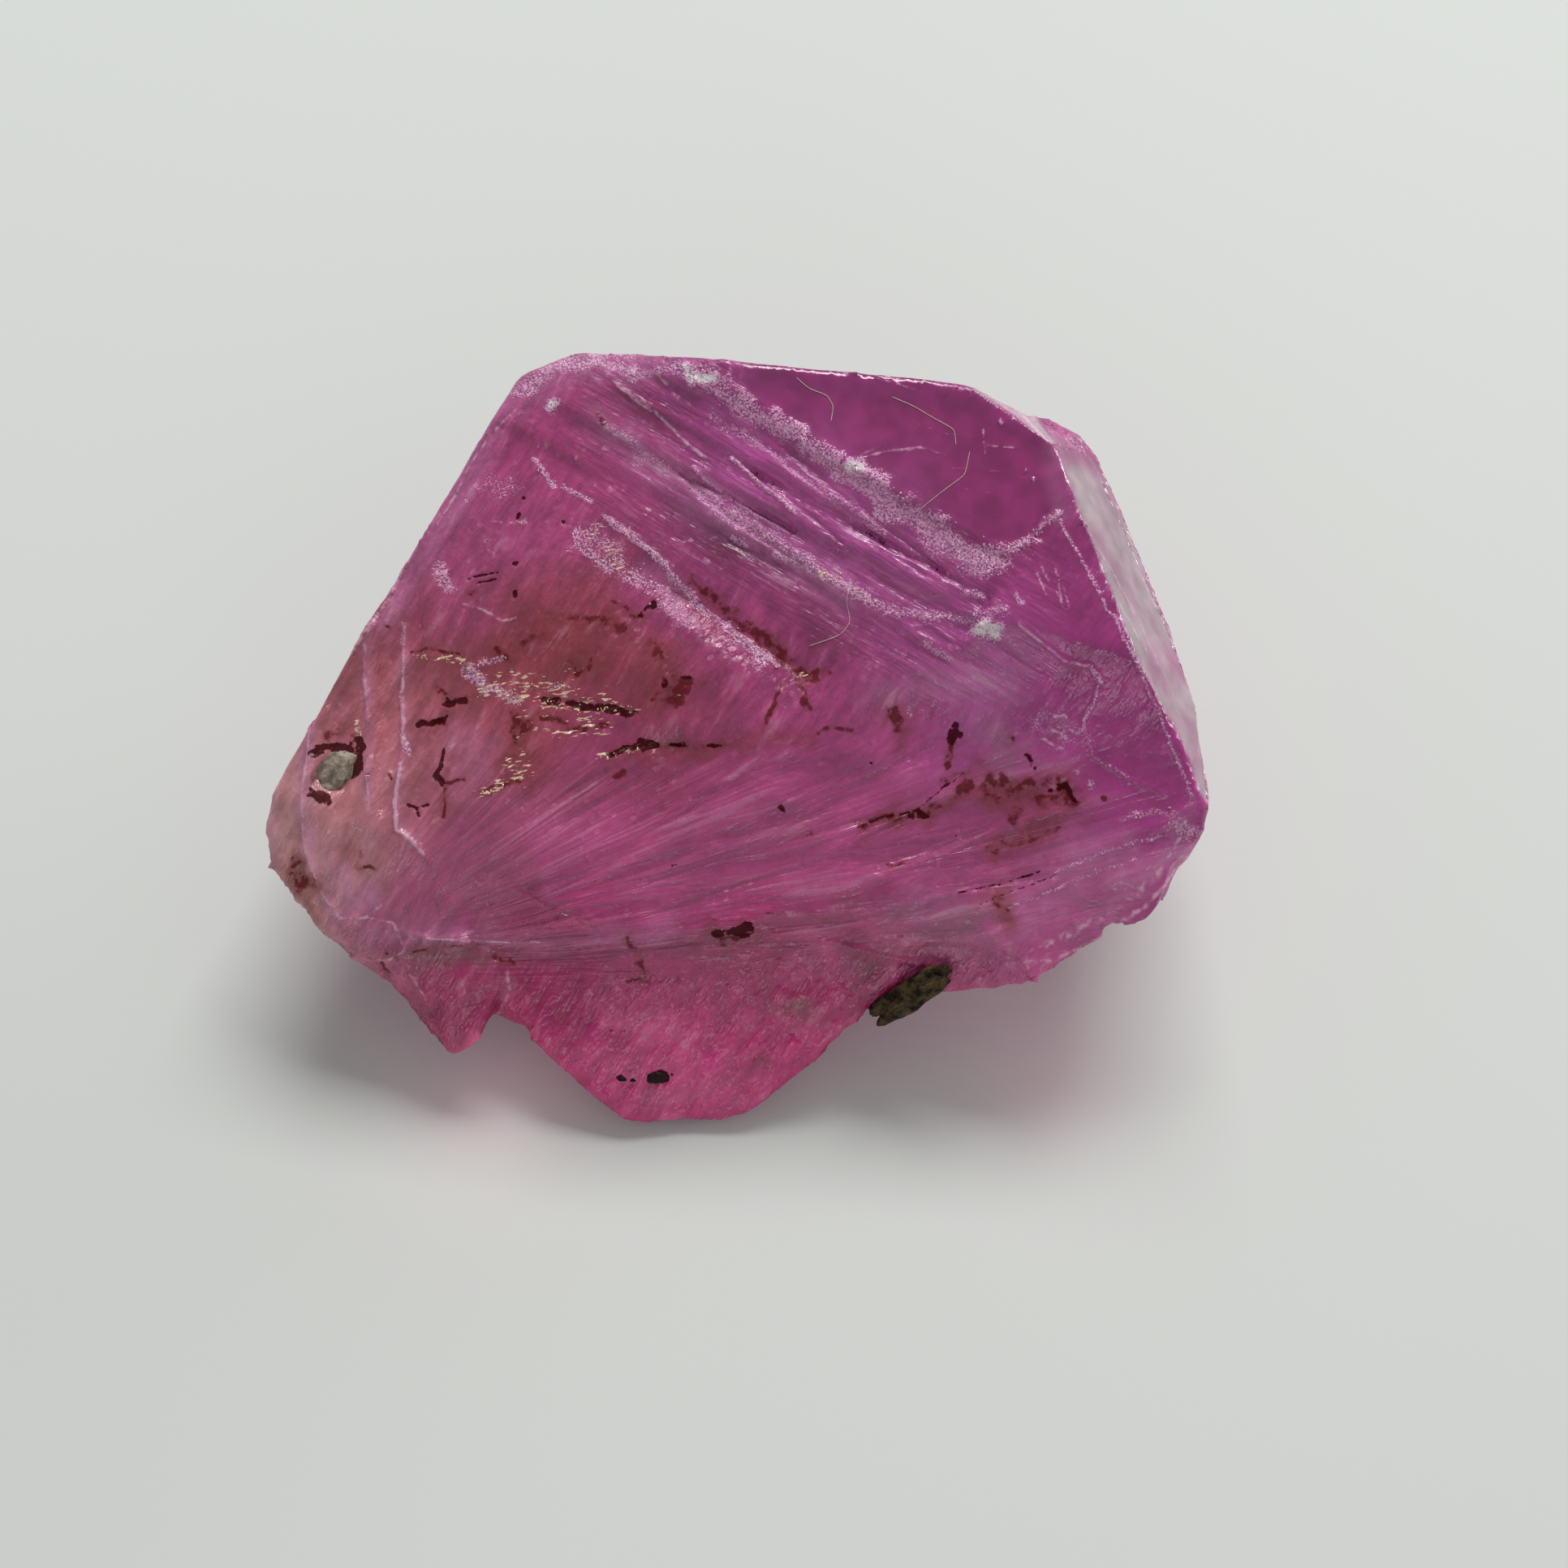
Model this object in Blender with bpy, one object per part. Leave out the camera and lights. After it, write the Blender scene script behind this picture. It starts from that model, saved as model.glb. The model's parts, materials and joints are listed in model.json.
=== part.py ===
"""A rough pink sapphire: one broken, stubby, six-sided crystal at its real size.

The crystal's long axis, its c axis, leans forward and a little left, so that its flat end face
looks up and towards -Y. Natural faces stand round the far side. The near side, the left lobe
and the underside are broken. Everything is worked out in millimetres, +X right, +Y back, +Z up,
with the ground at z = 0, and is turned into metres at the end, with the origin on the ground
under the middle of the stone.
"""

import math

import bmesh
import bpy
from mathutils import Matrix, Vector

MM = 0.001

# How the c axis leans, in degrees, and a point of the end face, in mm.
LEAN_FORWARD = 24.0
LEAN_LEFT = 4.0
END_FACE = Vector((2.36, 2.45, 6.20))

# Growth steps on the end face: they run STEP_TURN from +X in plan, and go down towards -Y.
# Each is how far it lies from END_FACE, and how much it drops, in mm.
STEP_TURN = math.radians(-31.0)
STEPS = [(1.72, 0.09), (2.12, 0.07), (2.56, 0.09), (3.05, 0.08)]
STEPS_END = 1.70
STEP_SLOPE = math.radians(1.2)

# The angle in degrees between the end face and a rhombohedral face.
RHOMB = 57.6

# How far cutting shapes go past the stone, and how far they stand out of its surface, in mm.
BEYOND = 9.0
CUT_LIP = 0.05
CUT_TOP = 0.4

# Where a groove starts to run out, as a share of its half length.
GROOVE_TAPER = 0.6

# Corners of the main body in mm. The end face has its own height for every x and y.
END_CORNERS = [(-0.86, 2.88), (2.36, 2.45), (3.49, 1.65), (5.00, -2.18)]
LEFT_CORNERS = [
    (-2.75, 3.35, 5.75),
    (-3.53, 3.09, 5.58),
    (-3.80, 2.70, 5.40),
    (-4.90, 1.03, 4.57),
    (-6.22, -1.00, 3.55),
    (-6.83, -1.97, 3.00),
    (-7.00, -2.48, 2.70),
    (-6.96, -2.80, 2.40),
    (-6.64, -3.12, 2.20),
    (-5.70, -3.85, 1.60),
]
FRONT_CORNERS = [
    (-4.40, -1.00, 4.00),
    (0.36, -1.26, 4.41),
    (-2.40, -2.00, 3.72),
    (1.60, -2.20, 3.85),
    (-4.77, -3.66, 2.20),
    (-2.63, -3.76, 2.20),
    (1.00, -3.85, 2.10),
]
RIGHT_CORNERS = [
    (5.53, -2.49, 3.50),
    (5.33, -2.78, 2.80),
    (4.42, -3.54, 2.35),
    (3.66, -3.96, 2.20),
    (2.18, -4.10, 2.00),
    (2.57, 2.42, 6.06),
    (3.45, 2.22, 5.62),
    (4.10, 2.14, 5.08),
    (4.69, 0.88, 4.43),
    (5.12, 0.04, 3.95),
    (5.48, -0.87, 3.57),
]
BACK_CORNERS = [
    (-3.78, 4.60, 2.90),
    (-5.39, 1.76, 2.30),
    (-0.70, 4.90, 2.50),
    (2.50, 4.45, 2.50),
    (4.05, 3.50, 2.70),
    (5.20, 0.60, 2.60),
]
FOOT_CORNERS = [(-2.6, -4.0), (-0.6, -4.4), (1.9, -2.2), (2.2, 1.4), (-1.2, 2.4), (-3.6, -0.8)]

# Lumps that grow out of the main body.
WEDGE_CORNERS = [
    (-3.63, -4.29, 1.40),
    (-2.47, -4.94, 0.60),
    (-1.95, -5.30, 0.30),
    (-1.49, -5.46, 0.15),
    (-0.90, -5.44, 0.15),
    (-0.39, -5.29, 0.30),
    (0.05, -4.92, 0.60),
    (0.42, -4.66, 0.95),
    (1.10, -4.40, 1.25),
    (-3.40, -3.70, 2.15),
    (0.90, -3.80, 2.10),
    (-1.50, -4.60, 0.00),
    (-0.40, -4.60, 0.00),
    (-2.40, -2.00, 0.00),
    (1.40, -2.00, 0.00),
    (-1.00, -2.00, 2.50),
]
TOOTH_CORNERS = [
    (-4.48, -4.77, 0.80),
    (-4.15, -4.66, 0.95),
    (-3.97, -4.50, 1.20),
    (-5.10, -4.35, 1.15),
    (-5.62, -3.92, 1.55),
    (-3.60, -3.90, 1.95),
    (-4.90, -3.60, 2.15),
    (-3.40, -2.60, 0.60),
    (-4.60, -2.40, 2.40),
]
RIM_CORNERS = [
    (3.40, 3.90, 3.70),
    (3.75, 4.02, 3.55),
    (4.24, 3.90, 3.30),
    (4.48, 3.72, 3.15),
    (4.79, 2.86, 2.95),
    (5.37, 1.00, 2.75),
    (5.67, -0.14, 2.65),
    (5.49, -0.71, 2.80),
    (2.60, 2.60, 1.00),
    (3.60, -0.60, 1.00),
    (4.50, -0.60, 3.60),
    (3.20, 2.60, 4.40),
]

# Furrows between the steps: where each starts and ends, as (along, down), its width and depth.
FURROWS = [
    ((-3.0, 1.84), (1.66, 1.95), 0.16, 0.07),
    ((-2.6, 2.28), (1.62, 2.34), 0.18, 0.09),
    ((-3.6, 2.70), (1.10, 2.74), 0.16, 0.07),
    ((-3.9, 3.18), (0.00, 3.22), 0.20, 0.09),
    ((-3.6, 4.00), (0.70, 4.38), 0.40, 0.22),
    ((1.72, 0.70), (1.80, 2.30), 0.16, 0.05),
]

# Round hollows left by breaking: a point on the surface before it broke away, the direction
# out of the stone, the direction along the hollow, and its length, width and depth.
HOLLOWS = [
    ((2.20, -1.95, 4.00), (0.02, -0.62, 0.78), (1.0, -0.30, -0.20), 6.6, 4.6, 0.48),
    ((-1.40, -2.70, 3.30), (-0.08, -0.66, 0.75), (1.0, 0.10, 0.10), 8.0, 2.6, 0.22),
    ((-2.90, -0.90, 4.00), (-0.18, -0.52, 0.83), (1.0, -0.40, -0.10), 7.4, 3.0, 0.18),
    ((-0.60, -1.35, 4.15), (-0.05, -0.56, 0.83), (1.0, 0.15, 0.10), 3.6, 1.2, 0.12),
    ((-4.50, -2.90, 2.75), (-0.24, -0.60, 0.76), (0.8, -0.60, -0.40), 4.6, 2.2, 0.12),
    ((-6.20, -2.70, 2.62), (-0.36, -0.50, 0.79), (0.6, -0.70, -0.4), 3.0, 1.6, 0.06),
    ((-0.10, -4.20, 1.75), (0.04, -0.70, 0.71), (1.0, 0.10, 0.05), 5.0, 1.7, 0.10),
    ((-2.70, -4.30, 1.45), (-0.20, -0.70, 0.69), (0.8, -0.75, -0.5), 3.6, 1.5, 0.06),
    ((-5.00, -4.15, 1.50), (-0.45, -0.72, 0.52), (0.7, -0.70, -0.6), 2.4, 1.2, 0.10),
    ((3.90, -3.30, 2.80), (0.10, -0.70, 0.70), (1.0, 0.40, 0.30), 4.4, 1.2, 0.05),
    ((4.00, -2.20, 1.40), (0.62, -0.50, -0.60), (0.6, 0.80, 0.0), 5.0, 3.0, 0.50),
    ((-5.20, -1.40, 1.30), (-0.62, -0.25, -0.74), (0.3, 1.00, 0.2), 5.4, 3.2, 0.45),
    ((-4.60, 3.20, 4.00), (-0.85, 0.40, 0.30), (0.3, 0.60, -0.7), 4.2, 2.2, 0.26),
    ((-1.00, 3.70, 1.20), (-0.10, 0.66, -0.74), (1.0, 0.10, 0.00), 6.0, 3.0, 0.40),
    ((3.60, 2.90, 1.40), (0.60, 0.45, -0.65), (0.6, -0.80, 0.0), 4.4, 2.4, 0.35),
    ((2.30, -3.30, 1.00), (0.35, -0.66, -0.66), (1.0, 0.40, 0.10), 3.6, 1.5, 0.22),
]

# Narrow upright flutes on the left, with sharp ridges between them, in the same terms.
FLUTES = [
    ((-4.50, -1.75, 3.27), (-0.04, -0.36, 0.93), (0.04, -0.90, -0.43), 3.6, 0.90, 0.12),
    ((-5.10, -1.30, 3.45), (-0.08, -0.36, 0.93), (-0.02, -0.92, -0.40), 4.2, 0.74, 0.12),
    ((-5.72, -1.40, 3.40), (-0.16, -0.36, 0.92), (-0.04, -0.92, -0.40), 3.0, 0.66, 0.10),
]

# The faint rings that cross a hollow: their height as a share of its size, and how many.
RIPPLE = 0.006
RIPPLE_WAVES = 7

# How much of the ball that makes a hollow sinks in, as a share of its radius.
HOLLOW_SUNK = 0.35

# Grooves with two flat sides: start, end, width, depth.
FRONT_GROOVES = [
    ((-2.31, -1.48, 3.46), (0.95, -1.52, 3.80), 0.24, 0.12),
    ((1.10, -2.48, 3.14), (3.80, -2.10, 3.46), 0.44, 0.12),
]
FRONT_UP = (-0.04, -0.50, 0.87)
BACK_GROOVES = [
    ((-3.40, 3.80, 4.60), (2.90, 3.35, 4.60), 0.30, 0.10),
    ((-2.20, 4.10, 3.90), (2.60, 3.72, 3.80), 0.26, 0.08),
    ((-3.00, 4.62, 3.00), (1.20, 4.42, 3.10), 0.40, 0.12),
]
BACK_UP = (0.08, 0.92, 0.38)

# Pits, as centre and size: under the grain on the left, and the crevice in front.
PITS = [
    ((-5.95, -1.74, 3.20), (0.60, 0.56, 0.36)),
    ((1.72, -4.26, 1.70), (1.30, 0.46, 0.56)),
]

CRYSTAL_COLOUR = (0.42, 0.07, 0.22, 1.0)
CRYSTAL_ROUGHNESS = 0.35
CORUNDUM_IOR = 1.77


def c_axis():
    """The upward direction of the crystal's long axis."""
    left, forward = math.radians(LEAN_LEFT), math.radians(LEAN_FORWARD)
    return Vector((-math.tan(left), -math.tan(forward), 1.0)).normalized()


def on_end_face(x, y):
    """The point of the end face above a place on the ground."""
    axis = c_axis()
    drop = ((x - END_FACE.x) * axis.x + (y - END_FACE.y) * axis.y) / axis.z
    return Vector((x, y, END_FACE.z - drop))


def new_object(name, bm):
    mesh = bpy.data.meshes.new(name)
    bm.to_mesh(mesh)
    bm.free()
    shape = bpy.data.objects.new(name, mesh)
    bpy.context.scene.collection.objects.link(shape)
    return shape


def lump(name, corners):
    """A solid with flat faces, drawn tight round its corners."""
    bm = bmesh.new()
    points = [bm.verts.new(corner) for corner in corners]
    skin = bmesh.ops.convex_hull(bm, input=points)
    inside = [v for v in skin["geom_interior"] if isinstance(v, bmesh.types.BMVert)]
    bmesh.ops.delete(bm, geom=inside, context="VERTS")
    flat = math.radians(1.0)
    bmesh.ops.dissolve_limit(bm, angle_limit=flat, verts=bm.verts, edges=bm.edges)
    bmesh.ops.recalc_face_normals(bm, faces=bm.faces)
    return new_object(name, bm)


def main_body():
    end = [on_end_face(x, y) for x, y in END_CORNERS]
    foot = [(x, y, 0.0) for x, y in FOOT_CORNERS]
    corners = end + LEFT_CORNERS + FRONT_CORNERS + RIGHT_CORNERS + BACK_CORNERS + foot
    return lump("sapphire", corners)


def turned(centre, along, up):
    """Places a shape with X along one direction and Z as near as may be to another."""
    x = Vector(along).normalized()
    y = Vector(up).cross(x).normalized()
    rows = Matrix((x, y, x.cross(y)))
    return Matrix.Translation(centre) @ rows.transposed().to_4x4()


def step_frame():
    """X along the growth steps, -Y down across them, Z out of the end face."""
    axis = c_axis()
    along = Vector((math.cos(STEP_TURN), math.sin(STEP_TURN), 0.0))
    along -= axis * along.dot(axis)
    return turned(END_FACE, along, axis)


def moved(shape, matrix):
    shape.data.transform(matrix)
    return shape


def step(down, drop):
    """What is missing above one growth step, whose riser is a rhombohedral face."""
    run = 1.0 / math.tan(math.radians(RHOMB))
    corners = []
    for x, slant in ((-BEYOND, 0.0), (STEPS_END, run)):
        for z in (-drop, BEYOND):
            corners.append((x + slant * z, -BEYOND, z))
            corners.append((x + slant * z, -down + run * z, z))
    tilt = Matrix.Rotation(-STEP_SLOPE, 4, "Y")
    return moved(lump("step", corners), step_frame() @ tilt)


def groove(start, end, width, depth, up):
    """A groove with two flat sides that runs out at both ends."""
    start, end = Vector(start), Vector(end)
    half = (end - start).length / 2
    corners = [(-half, 0.0, CUT_LIP), (half, 0.0, CUT_LIP)]
    for x in (-GROOVE_TAPER * half, GROOVE_TAPER * half):
        corners += [(x, 0.0, -depth), (x, 0.0, CUT_TOP)]
        corners += [(x, -width / 2, CUT_LIP), (x, width / 2, CUT_LIP)]
    return moved(lump("groove", corners), turned((start + end) / 2, end - start, up))


def hollow(centre, outward, along, length, width, depth):
    """A shell-shaped hollow such as glass breaks with, crossed by a few faint rings."""
    # Once stretched, the sunk cap of the ball has the hollow's length, width and depth.
    reach = math.sqrt(1.0 - (1.0 - HOLLOW_SUNK) ** 2)
    bm = bmesh.new()
    bmesh.ops.create_icosphere(bm, subdivisions=4, radius=1.0)
    for vert in bm.verts:
        vert.co *= 1.0 + RIPPLE * math.sin(RIPPLE_WAVES * math.pi * vert.co.x)
    radii = (length / 2 / reach, width / 2 / reach, depth / HOLLOW_SUNK)
    bmesh.ops.scale(bm, vec=radii, verts=bm.verts)
    lift = Vector(outward).normalized() * radii[2] * (1.0 - HOLLOW_SUNK)
    shape = new_object("hollow", bm)
    return moved(shape, turned(Vector(centre) + lift, along, outward))


def pit(centre, size):
    bm = bmesh.new()
    bmesh.ops.create_icosphere(bm, subdivisions=2, radius=0.5)
    bmesh.ops.scale(bm, vec=size, verts=bm.verts)
    bmesh.ops.translate(bm, vec=centre, verts=bm.verts)
    return new_object("pit", bm)


def combine(body, other, operation):
    """Joins another solid to the body, or cuts it away, and drops the other."""
    boolean = body.modifiers.new(operation.lower(), "BOOLEAN")
    boolean.object = other
    boolean.operation = operation
    boolean.solver = "EXACT"
    bpy.context.view_layer.update()
    graph = bpy.context.evaluated_depsgraph_get()
    joined = bpy.data.meshes.new_from_object(body.evaluated_get(graph))
    body.modifiers.clear()
    body.data = joined
    bpy.data.objects.remove(other)


def on_steps(along, down):
    """The point of the stepped end face at a place along and down its steps."""
    fallen = sum(drop for place, drop in STEPS if down > place)
    slope = math.tan(STEP_SLOPE) * -along if fallen and along < STEPS_END else 0.0
    return step_frame() @ Vector((along, -down, -fallen - slope))


def cut_steps(body):
    fallen = 0.0
    for down, drop in STEPS:
        fallen += drop
        combine(body, step(down, fallen), "DIFFERENCE")
    for start, end, width, depth in FURROWS:
        furrow = groove(on_steps(*start), on_steps(*end), width, depth, c_axis())
        combine(body, furrow, "DIFFERENCE")


def stand_on_origin(body):
    """Turns millimetres into metres, with the origin under the middle of the box round it."""
    xs = [vert.co.x for vert in body.data.vertices]
    ys = [vert.co.y for vert in body.data.vertices]
    middle = Vector(((min(xs) + max(xs)) / 2, (min(ys) + max(ys)) / 2, 0.0))
    body.data.transform(Matrix.Scale(MM, 4) @ Matrix.Translation(-middle))


def finish(body):
    """The pink corundum itself, and flat shading for its faces."""
    stone = bpy.data.materials.new("pink_corundum")
    stone.use_nodes = True
    shader = stone.node_tree.nodes["Principled BSDF"]
    shader.inputs["Base Color"].default_value = CRYSTAL_COLOUR
    shader.inputs["Roughness"].default_value = CRYSTAL_ROUGHNESS
    shader.inputs["Metallic"].default_value = 0.0
    shader.inputs["IOR"].default_value = CORUNDUM_IOR
    body.data.materials.clear()
    body.data.materials.append(stone)
    body.data.shade_flat()


def main():
    for old in list(bpy.data.objects):
        bpy.data.objects.remove(old)
    body = main_body()
    combine(body, lump("wedge", WEDGE_CORNERS), "UNION")
    combine(body, lump("tooth", TOOTH_CORNERS), "UNION")
    combine(body, lump("rim", RIM_CORNERS), "UNION")
    cut_steps(body)
    for row in HOLLOWS + FLUTES:
        combine(body, hollow(*row), "DIFFERENCE")
    for row in FRONT_GROOVES:
        combine(body, groove(*row, FRONT_UP), "DIFFERENCE")
    for row in BACK_GROOVES:
        combine(body, groove(*row, BACK_UP), "DIFFERENCE")
    for row in PITS:
        combine(body, pit(*row), "DIFFERENCE")
    stand_on_origin(body)
    finish(body)
    return body


crystal = main()
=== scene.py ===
"""Looks for the rough pink sapphire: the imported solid, finely modelled and dressed.

The crystal is one closed skin that follows the CAD solid. Lengths are in millimetres while it is
shaped, and are turned into metres at the end. Marks that the photograph shows are placed where a
line of sight from the photograph's camera meets the stone, and from then on belong to the stone.
"""

import json
import math

import bmesh
import bpy
import numpy as np
from mathutils import Matrix, Vector
from mathutils.bvhtree import BVHTree

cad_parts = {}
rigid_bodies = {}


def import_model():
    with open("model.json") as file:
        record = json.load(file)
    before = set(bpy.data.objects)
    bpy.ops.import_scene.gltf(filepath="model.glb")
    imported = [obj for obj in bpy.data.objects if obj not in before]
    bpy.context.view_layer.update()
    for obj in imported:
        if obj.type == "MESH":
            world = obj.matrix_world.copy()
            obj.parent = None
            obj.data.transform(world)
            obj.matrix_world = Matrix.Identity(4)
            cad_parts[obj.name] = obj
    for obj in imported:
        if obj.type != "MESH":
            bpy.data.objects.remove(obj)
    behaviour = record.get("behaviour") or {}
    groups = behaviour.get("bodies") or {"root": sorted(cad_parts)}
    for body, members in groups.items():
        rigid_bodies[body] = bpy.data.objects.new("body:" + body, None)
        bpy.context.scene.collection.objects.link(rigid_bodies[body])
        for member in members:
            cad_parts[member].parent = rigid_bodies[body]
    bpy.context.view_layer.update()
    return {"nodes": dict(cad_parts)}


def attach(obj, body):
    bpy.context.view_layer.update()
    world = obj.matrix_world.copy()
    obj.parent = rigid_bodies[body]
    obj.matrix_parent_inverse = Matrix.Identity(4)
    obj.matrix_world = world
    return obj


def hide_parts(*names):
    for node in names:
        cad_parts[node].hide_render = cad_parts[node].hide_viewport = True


for old in list(bpy.data.objects):
    bpy.data.objects.remove(old)
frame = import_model()

MM = 0.001
IMAGE = 1932

# The photograph's camera, in millimetres: the floor point in the middle of its view, how far away
# it is, how steeply it looks down, and its focal length in the photograph's pixels.
AIM = np.array([0.6273, 0.28, 0.0])
DISTANCE = 35.8
ELEVATION = math.radians(60.0)
FOCAL = 3000.0
SENSOR = 36.0
PIXEL = DISTANCE / FOCAL

# Directions of the camera's view in the stone's frame.
FORWARD = np.array([0.0, math.cos(ELEVATION), -math.sin(ELEVATION)])
UPWARD = np.array([0.0, math.sin(ELEVATION), math.cos(ELEVATION)])
RIGHTWARD = np.array([1.0, 0.0, 0.0])
CAMERA = AIM - DISTANCE * FORWARD

# How fine the skin is, in mm: as remeshed, where the photograph sees it, and elsewhere.
VOXEL = 0.125
NEAR_EDGE = 0.09
FAR_EDGE = 0.25
FINEST = 0.030

# How far off a line that the whole stone is measured against may be, in pixels.
ANYWHERE = 1e5

# Directions of fine streaks in the picture, in degrees, and how many tiny facets lie in a mm.
BREAK_ANGLE = 60.0
STEP_ANGLE = -31.5
WISP_ANGLE = 8.0
CELLS = 15.0

# The crystal's c axis, and the outward direction of its glassy side facet.
C_AXIS = np.array([-0.064, -0.406, 0.912])
SIDE_FACET = np.array([0.791, 0.057, 0.609])

# Body colours of the crystal, and where the photograph shows them.
BODY = {
    "plum": (0.510, 0.048, 0.290),
    "grape": (0.680, 0.060, 0.400),
    "violet": (0.620, 0.110, 0.440),
    "magenta": (0.580, 0.065, 0.270),
    "rose": (0.650, 0.095, 0.320),
    "salmon": (0.630, 0.165, 0.210),
    "pearl": (1.000, 0.580, 0.580),
    "umber": (0.500, 0.068, 0.095),
    # Deep red, darkened as painted shade under the lip and on the tooth.
    "garnet_painted_shade": (0.520, 0.016, 0.160),
    # Bright red, raised as a painted glow of light let through the wedge.
    "ruby_painted_glow": (0.860, 0.012, 0.270),
}
ZONES = {
    "plum": [(980, 480), (1100, 520), (1230, 560), (1250, 640), (1290, 700)],
    "grape": [(1370, 830), (1400, 930), (1340, 880)],
    "violet": [
        (930, 560), (1010, 620), (1100, 700), (900, 620), (1060, 660), (1160, 790), (1210, 860),
    ],
    "magenta": [
        (700, 540), (800, 640), (880, 700), (960, 780), (1020, 820), (760, 900), (1100, 850),
    ],
    "rose": [
        (700, 1060), (850, 1090), (1000, 1060), (1150, 1040), (1300, 1050), (640, 660), (570, 745),
        (500, 1100), (560, 1030),
    ],
    "salmon": [(400, 1060), (420, 880), (500, 960), (350, 1000), (500, 850)],
    "umber": [(560, 830), (650, 850), (700, 790), (780, 850)],
    "pearl": [(340, 1040), (345, 1080), (355, 1010)],
    "garnet_painted_shade": [(560, 1230), (640, 1200), (720, 1215), (560, 1280), (920, 1210), (1010, 1220)],
    # The wedge, where the painted glow lies.
    "ruby_painted_glow": [(790, 1280), (840, 1330), (900, 1320), (740, 1285), (850, 1390), (960, 1260)],
}

# How far a colour reaches and how far its edge wanders, in pixels.
ZONE_REACH = 46.875
ZONE_DRIFT = 30.0
HIDDEN_BODY = "magenta"

# Marks by kind. Each row is half a width in pixels, a strength (for a ridge or a furrow, its height
# or depth in mm) and the line of pixels that the mark follows, as across, down, across, down.
# Frosted, whitened bands; the rows along the ridges also paint their white highlights.
FROST_AND_PAINTED_HIGHLIGHTS = [
    (2.6, 0.75, 1305, 640, 1345, 715, 1384, 785, 1420, 861, 1445, 923, 1470, 980),
    (5, 0.5, 1380, 1010, 1420, 1000, 1450, 1000),
    (3, 0.5, 1300, 1075, 1360, 1050, 1430, 1030),
    (3, 0.45, 1240, 1120, 1320, 1085, 1400, 1060),
    (2.6, 0.45, 497, 766, 494, 835, 496, 925),
    (12.8, 0.8, 885, 479, 928, 508, 976, 535, 1029, 575),
    (17.1, 0.85, 1029, 575, 1099, 620, 1163, 657),
    (21.3, 0.9, 1163, 660, 1216, 697),
    (5.3, 0.7, 1067, 636, 1091, 659),
    (4.3, 0.7, 1192, 727, 1213, 737),
    (7.5, 0.45, 880, 511, 939, 553, 1013, 607, 1077, 649),
    (2.7, 1, 901, 565, 939, 597, 980, 633),
    (2.1, 0.9, 852, 575, 880, 599, 933, 636),
    (10.7, 0.55, 848, 599, 907, 636, 987, 684, 1056, 735),
    (4.8, 1, 904, 663, 925, 671),
    (4.3, 1, 955, 682, 970, 689),
    (7.5, 0.8, 981, 689, 1024, 713, 1067, 737),
    (4.3, 1, 821, 708, 843, 729, 861, 748),
    (7.5, 1, 899, 773, 920, 793, 941, 816),
    (3.7, 0.8, 800, 677, 832, 714, 869, 752, 907, 779, 960, 820),
    (6.4, 0.55, 1056, 735, 1120, 757, 1184, 762, 1237, 752),
    (4.8, 1, 1141, 792, 1168, 812),
    (11.7, 1.6, 1210, 780, 1219, 782),
    (5.3, 1.5, 1227, 772, 1227, 788),
    (4.3, 1, 1200, 767, 1206, 772),
    (5.9, 0.7, 1235, 682, 1259, 670, 1285, 650, 1301, 631),
    (9.6, 1.6, 861, 458, 875, 462),
    (7.5, 1.4, 848, 452, 853, 468),
    (8, 1.5, 1048, 574, 1059, 575),
    (3.7, 1, 1252, 732, 1258, 743),
    (3.2, 0.9, 1343, 820, 1355, 841, 1344, 873, 1333, 900),
    (2.1, 0.5, 1333, 900, 1349, 932, 1392, 960),
    (24, 0.35, 1296, 889, 1323, 911),
    (4.3, 0.7, 1119, 873, 1122, 880),
    (4.3, 1, 1343, 964, 1345, 965),
    (3.2, 0.9, 1328, 951, 1329, 952),
    (11.7, 0.8, 1448, 1017, 1464, 1028),
    (2.7, 0.9, 1232, 520, 1233, 521),
    (2.1, 0.9, 1263, 577, 1263, 578),
    (2.1, 0.9, 1272, 591, 1273, 591),
    (2.7, 0.6, 1003, 451, 1056, 457),
    (12.1, 0.75, 637, 484, 663, 462, 702, 446, 741, 440),
    (6.1, 1, 745, 445, 780, 455),
    (5.2, 0.6, 663, 445, 715, 433, 780, 435),
    (7.4, 1.6, 681, 496, 685, 498),
    (2.6, 0.9, 709, 566, 711, 565),
    (4.3, 1, 749, 527, 767, 539, 785, 549),
    (10.4, 0.5, 745, 519, 780, 549, 823, 579),
    (6.9, 0.6, 780, 462, 832, 454, 866, 462),
    (3.9, 1, 659, 567, 668, 584, 684, 596),
    (3, 0.9, 694, 598, 727, 617),
    (21.7, 0.45, 715, 657, 762, 692),
    (4.3, 0.9, 706, 657, 719, 679, 754, 701),
    (3.9, 1, 745, 637, 780, 663, 810, 684, 832, 719, 866, 753),
    (15.2, 0.5, 775, 701, 819, 740, 849, 761),
    (11.3, 0.6, 533, 701, 559, 722),
    (3.9, 1, 545, 698, 551, 716),
    (2.6, 0.8, 518, 772, 518, 773),
    (6.9, 0.8, 576, 826, 602, 848, 637, 861),
    (5.2, 0.6, 593, 818, 619, 809),
    (13, 0.35, 589, 597, 632, 601),
    (2.6, 0.9, 572, 617, 573, 618),
    (2.2, 0.9, 631, 618, 632, 619),
    (3, 0.6, 643, 641, 648, 642),
    (6.1, 0.5, 680, 848, 697, 844),
    (3.5, 0.8, 494, 906, 501, 928),
    (4.3, 0.5, 329, 1084, 338, 1093),
    (10.4, 0.35, 437, 1010, 446, 1019),
    (9, 0.9, 1453, 1020, 1470, 1027),
]
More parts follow.
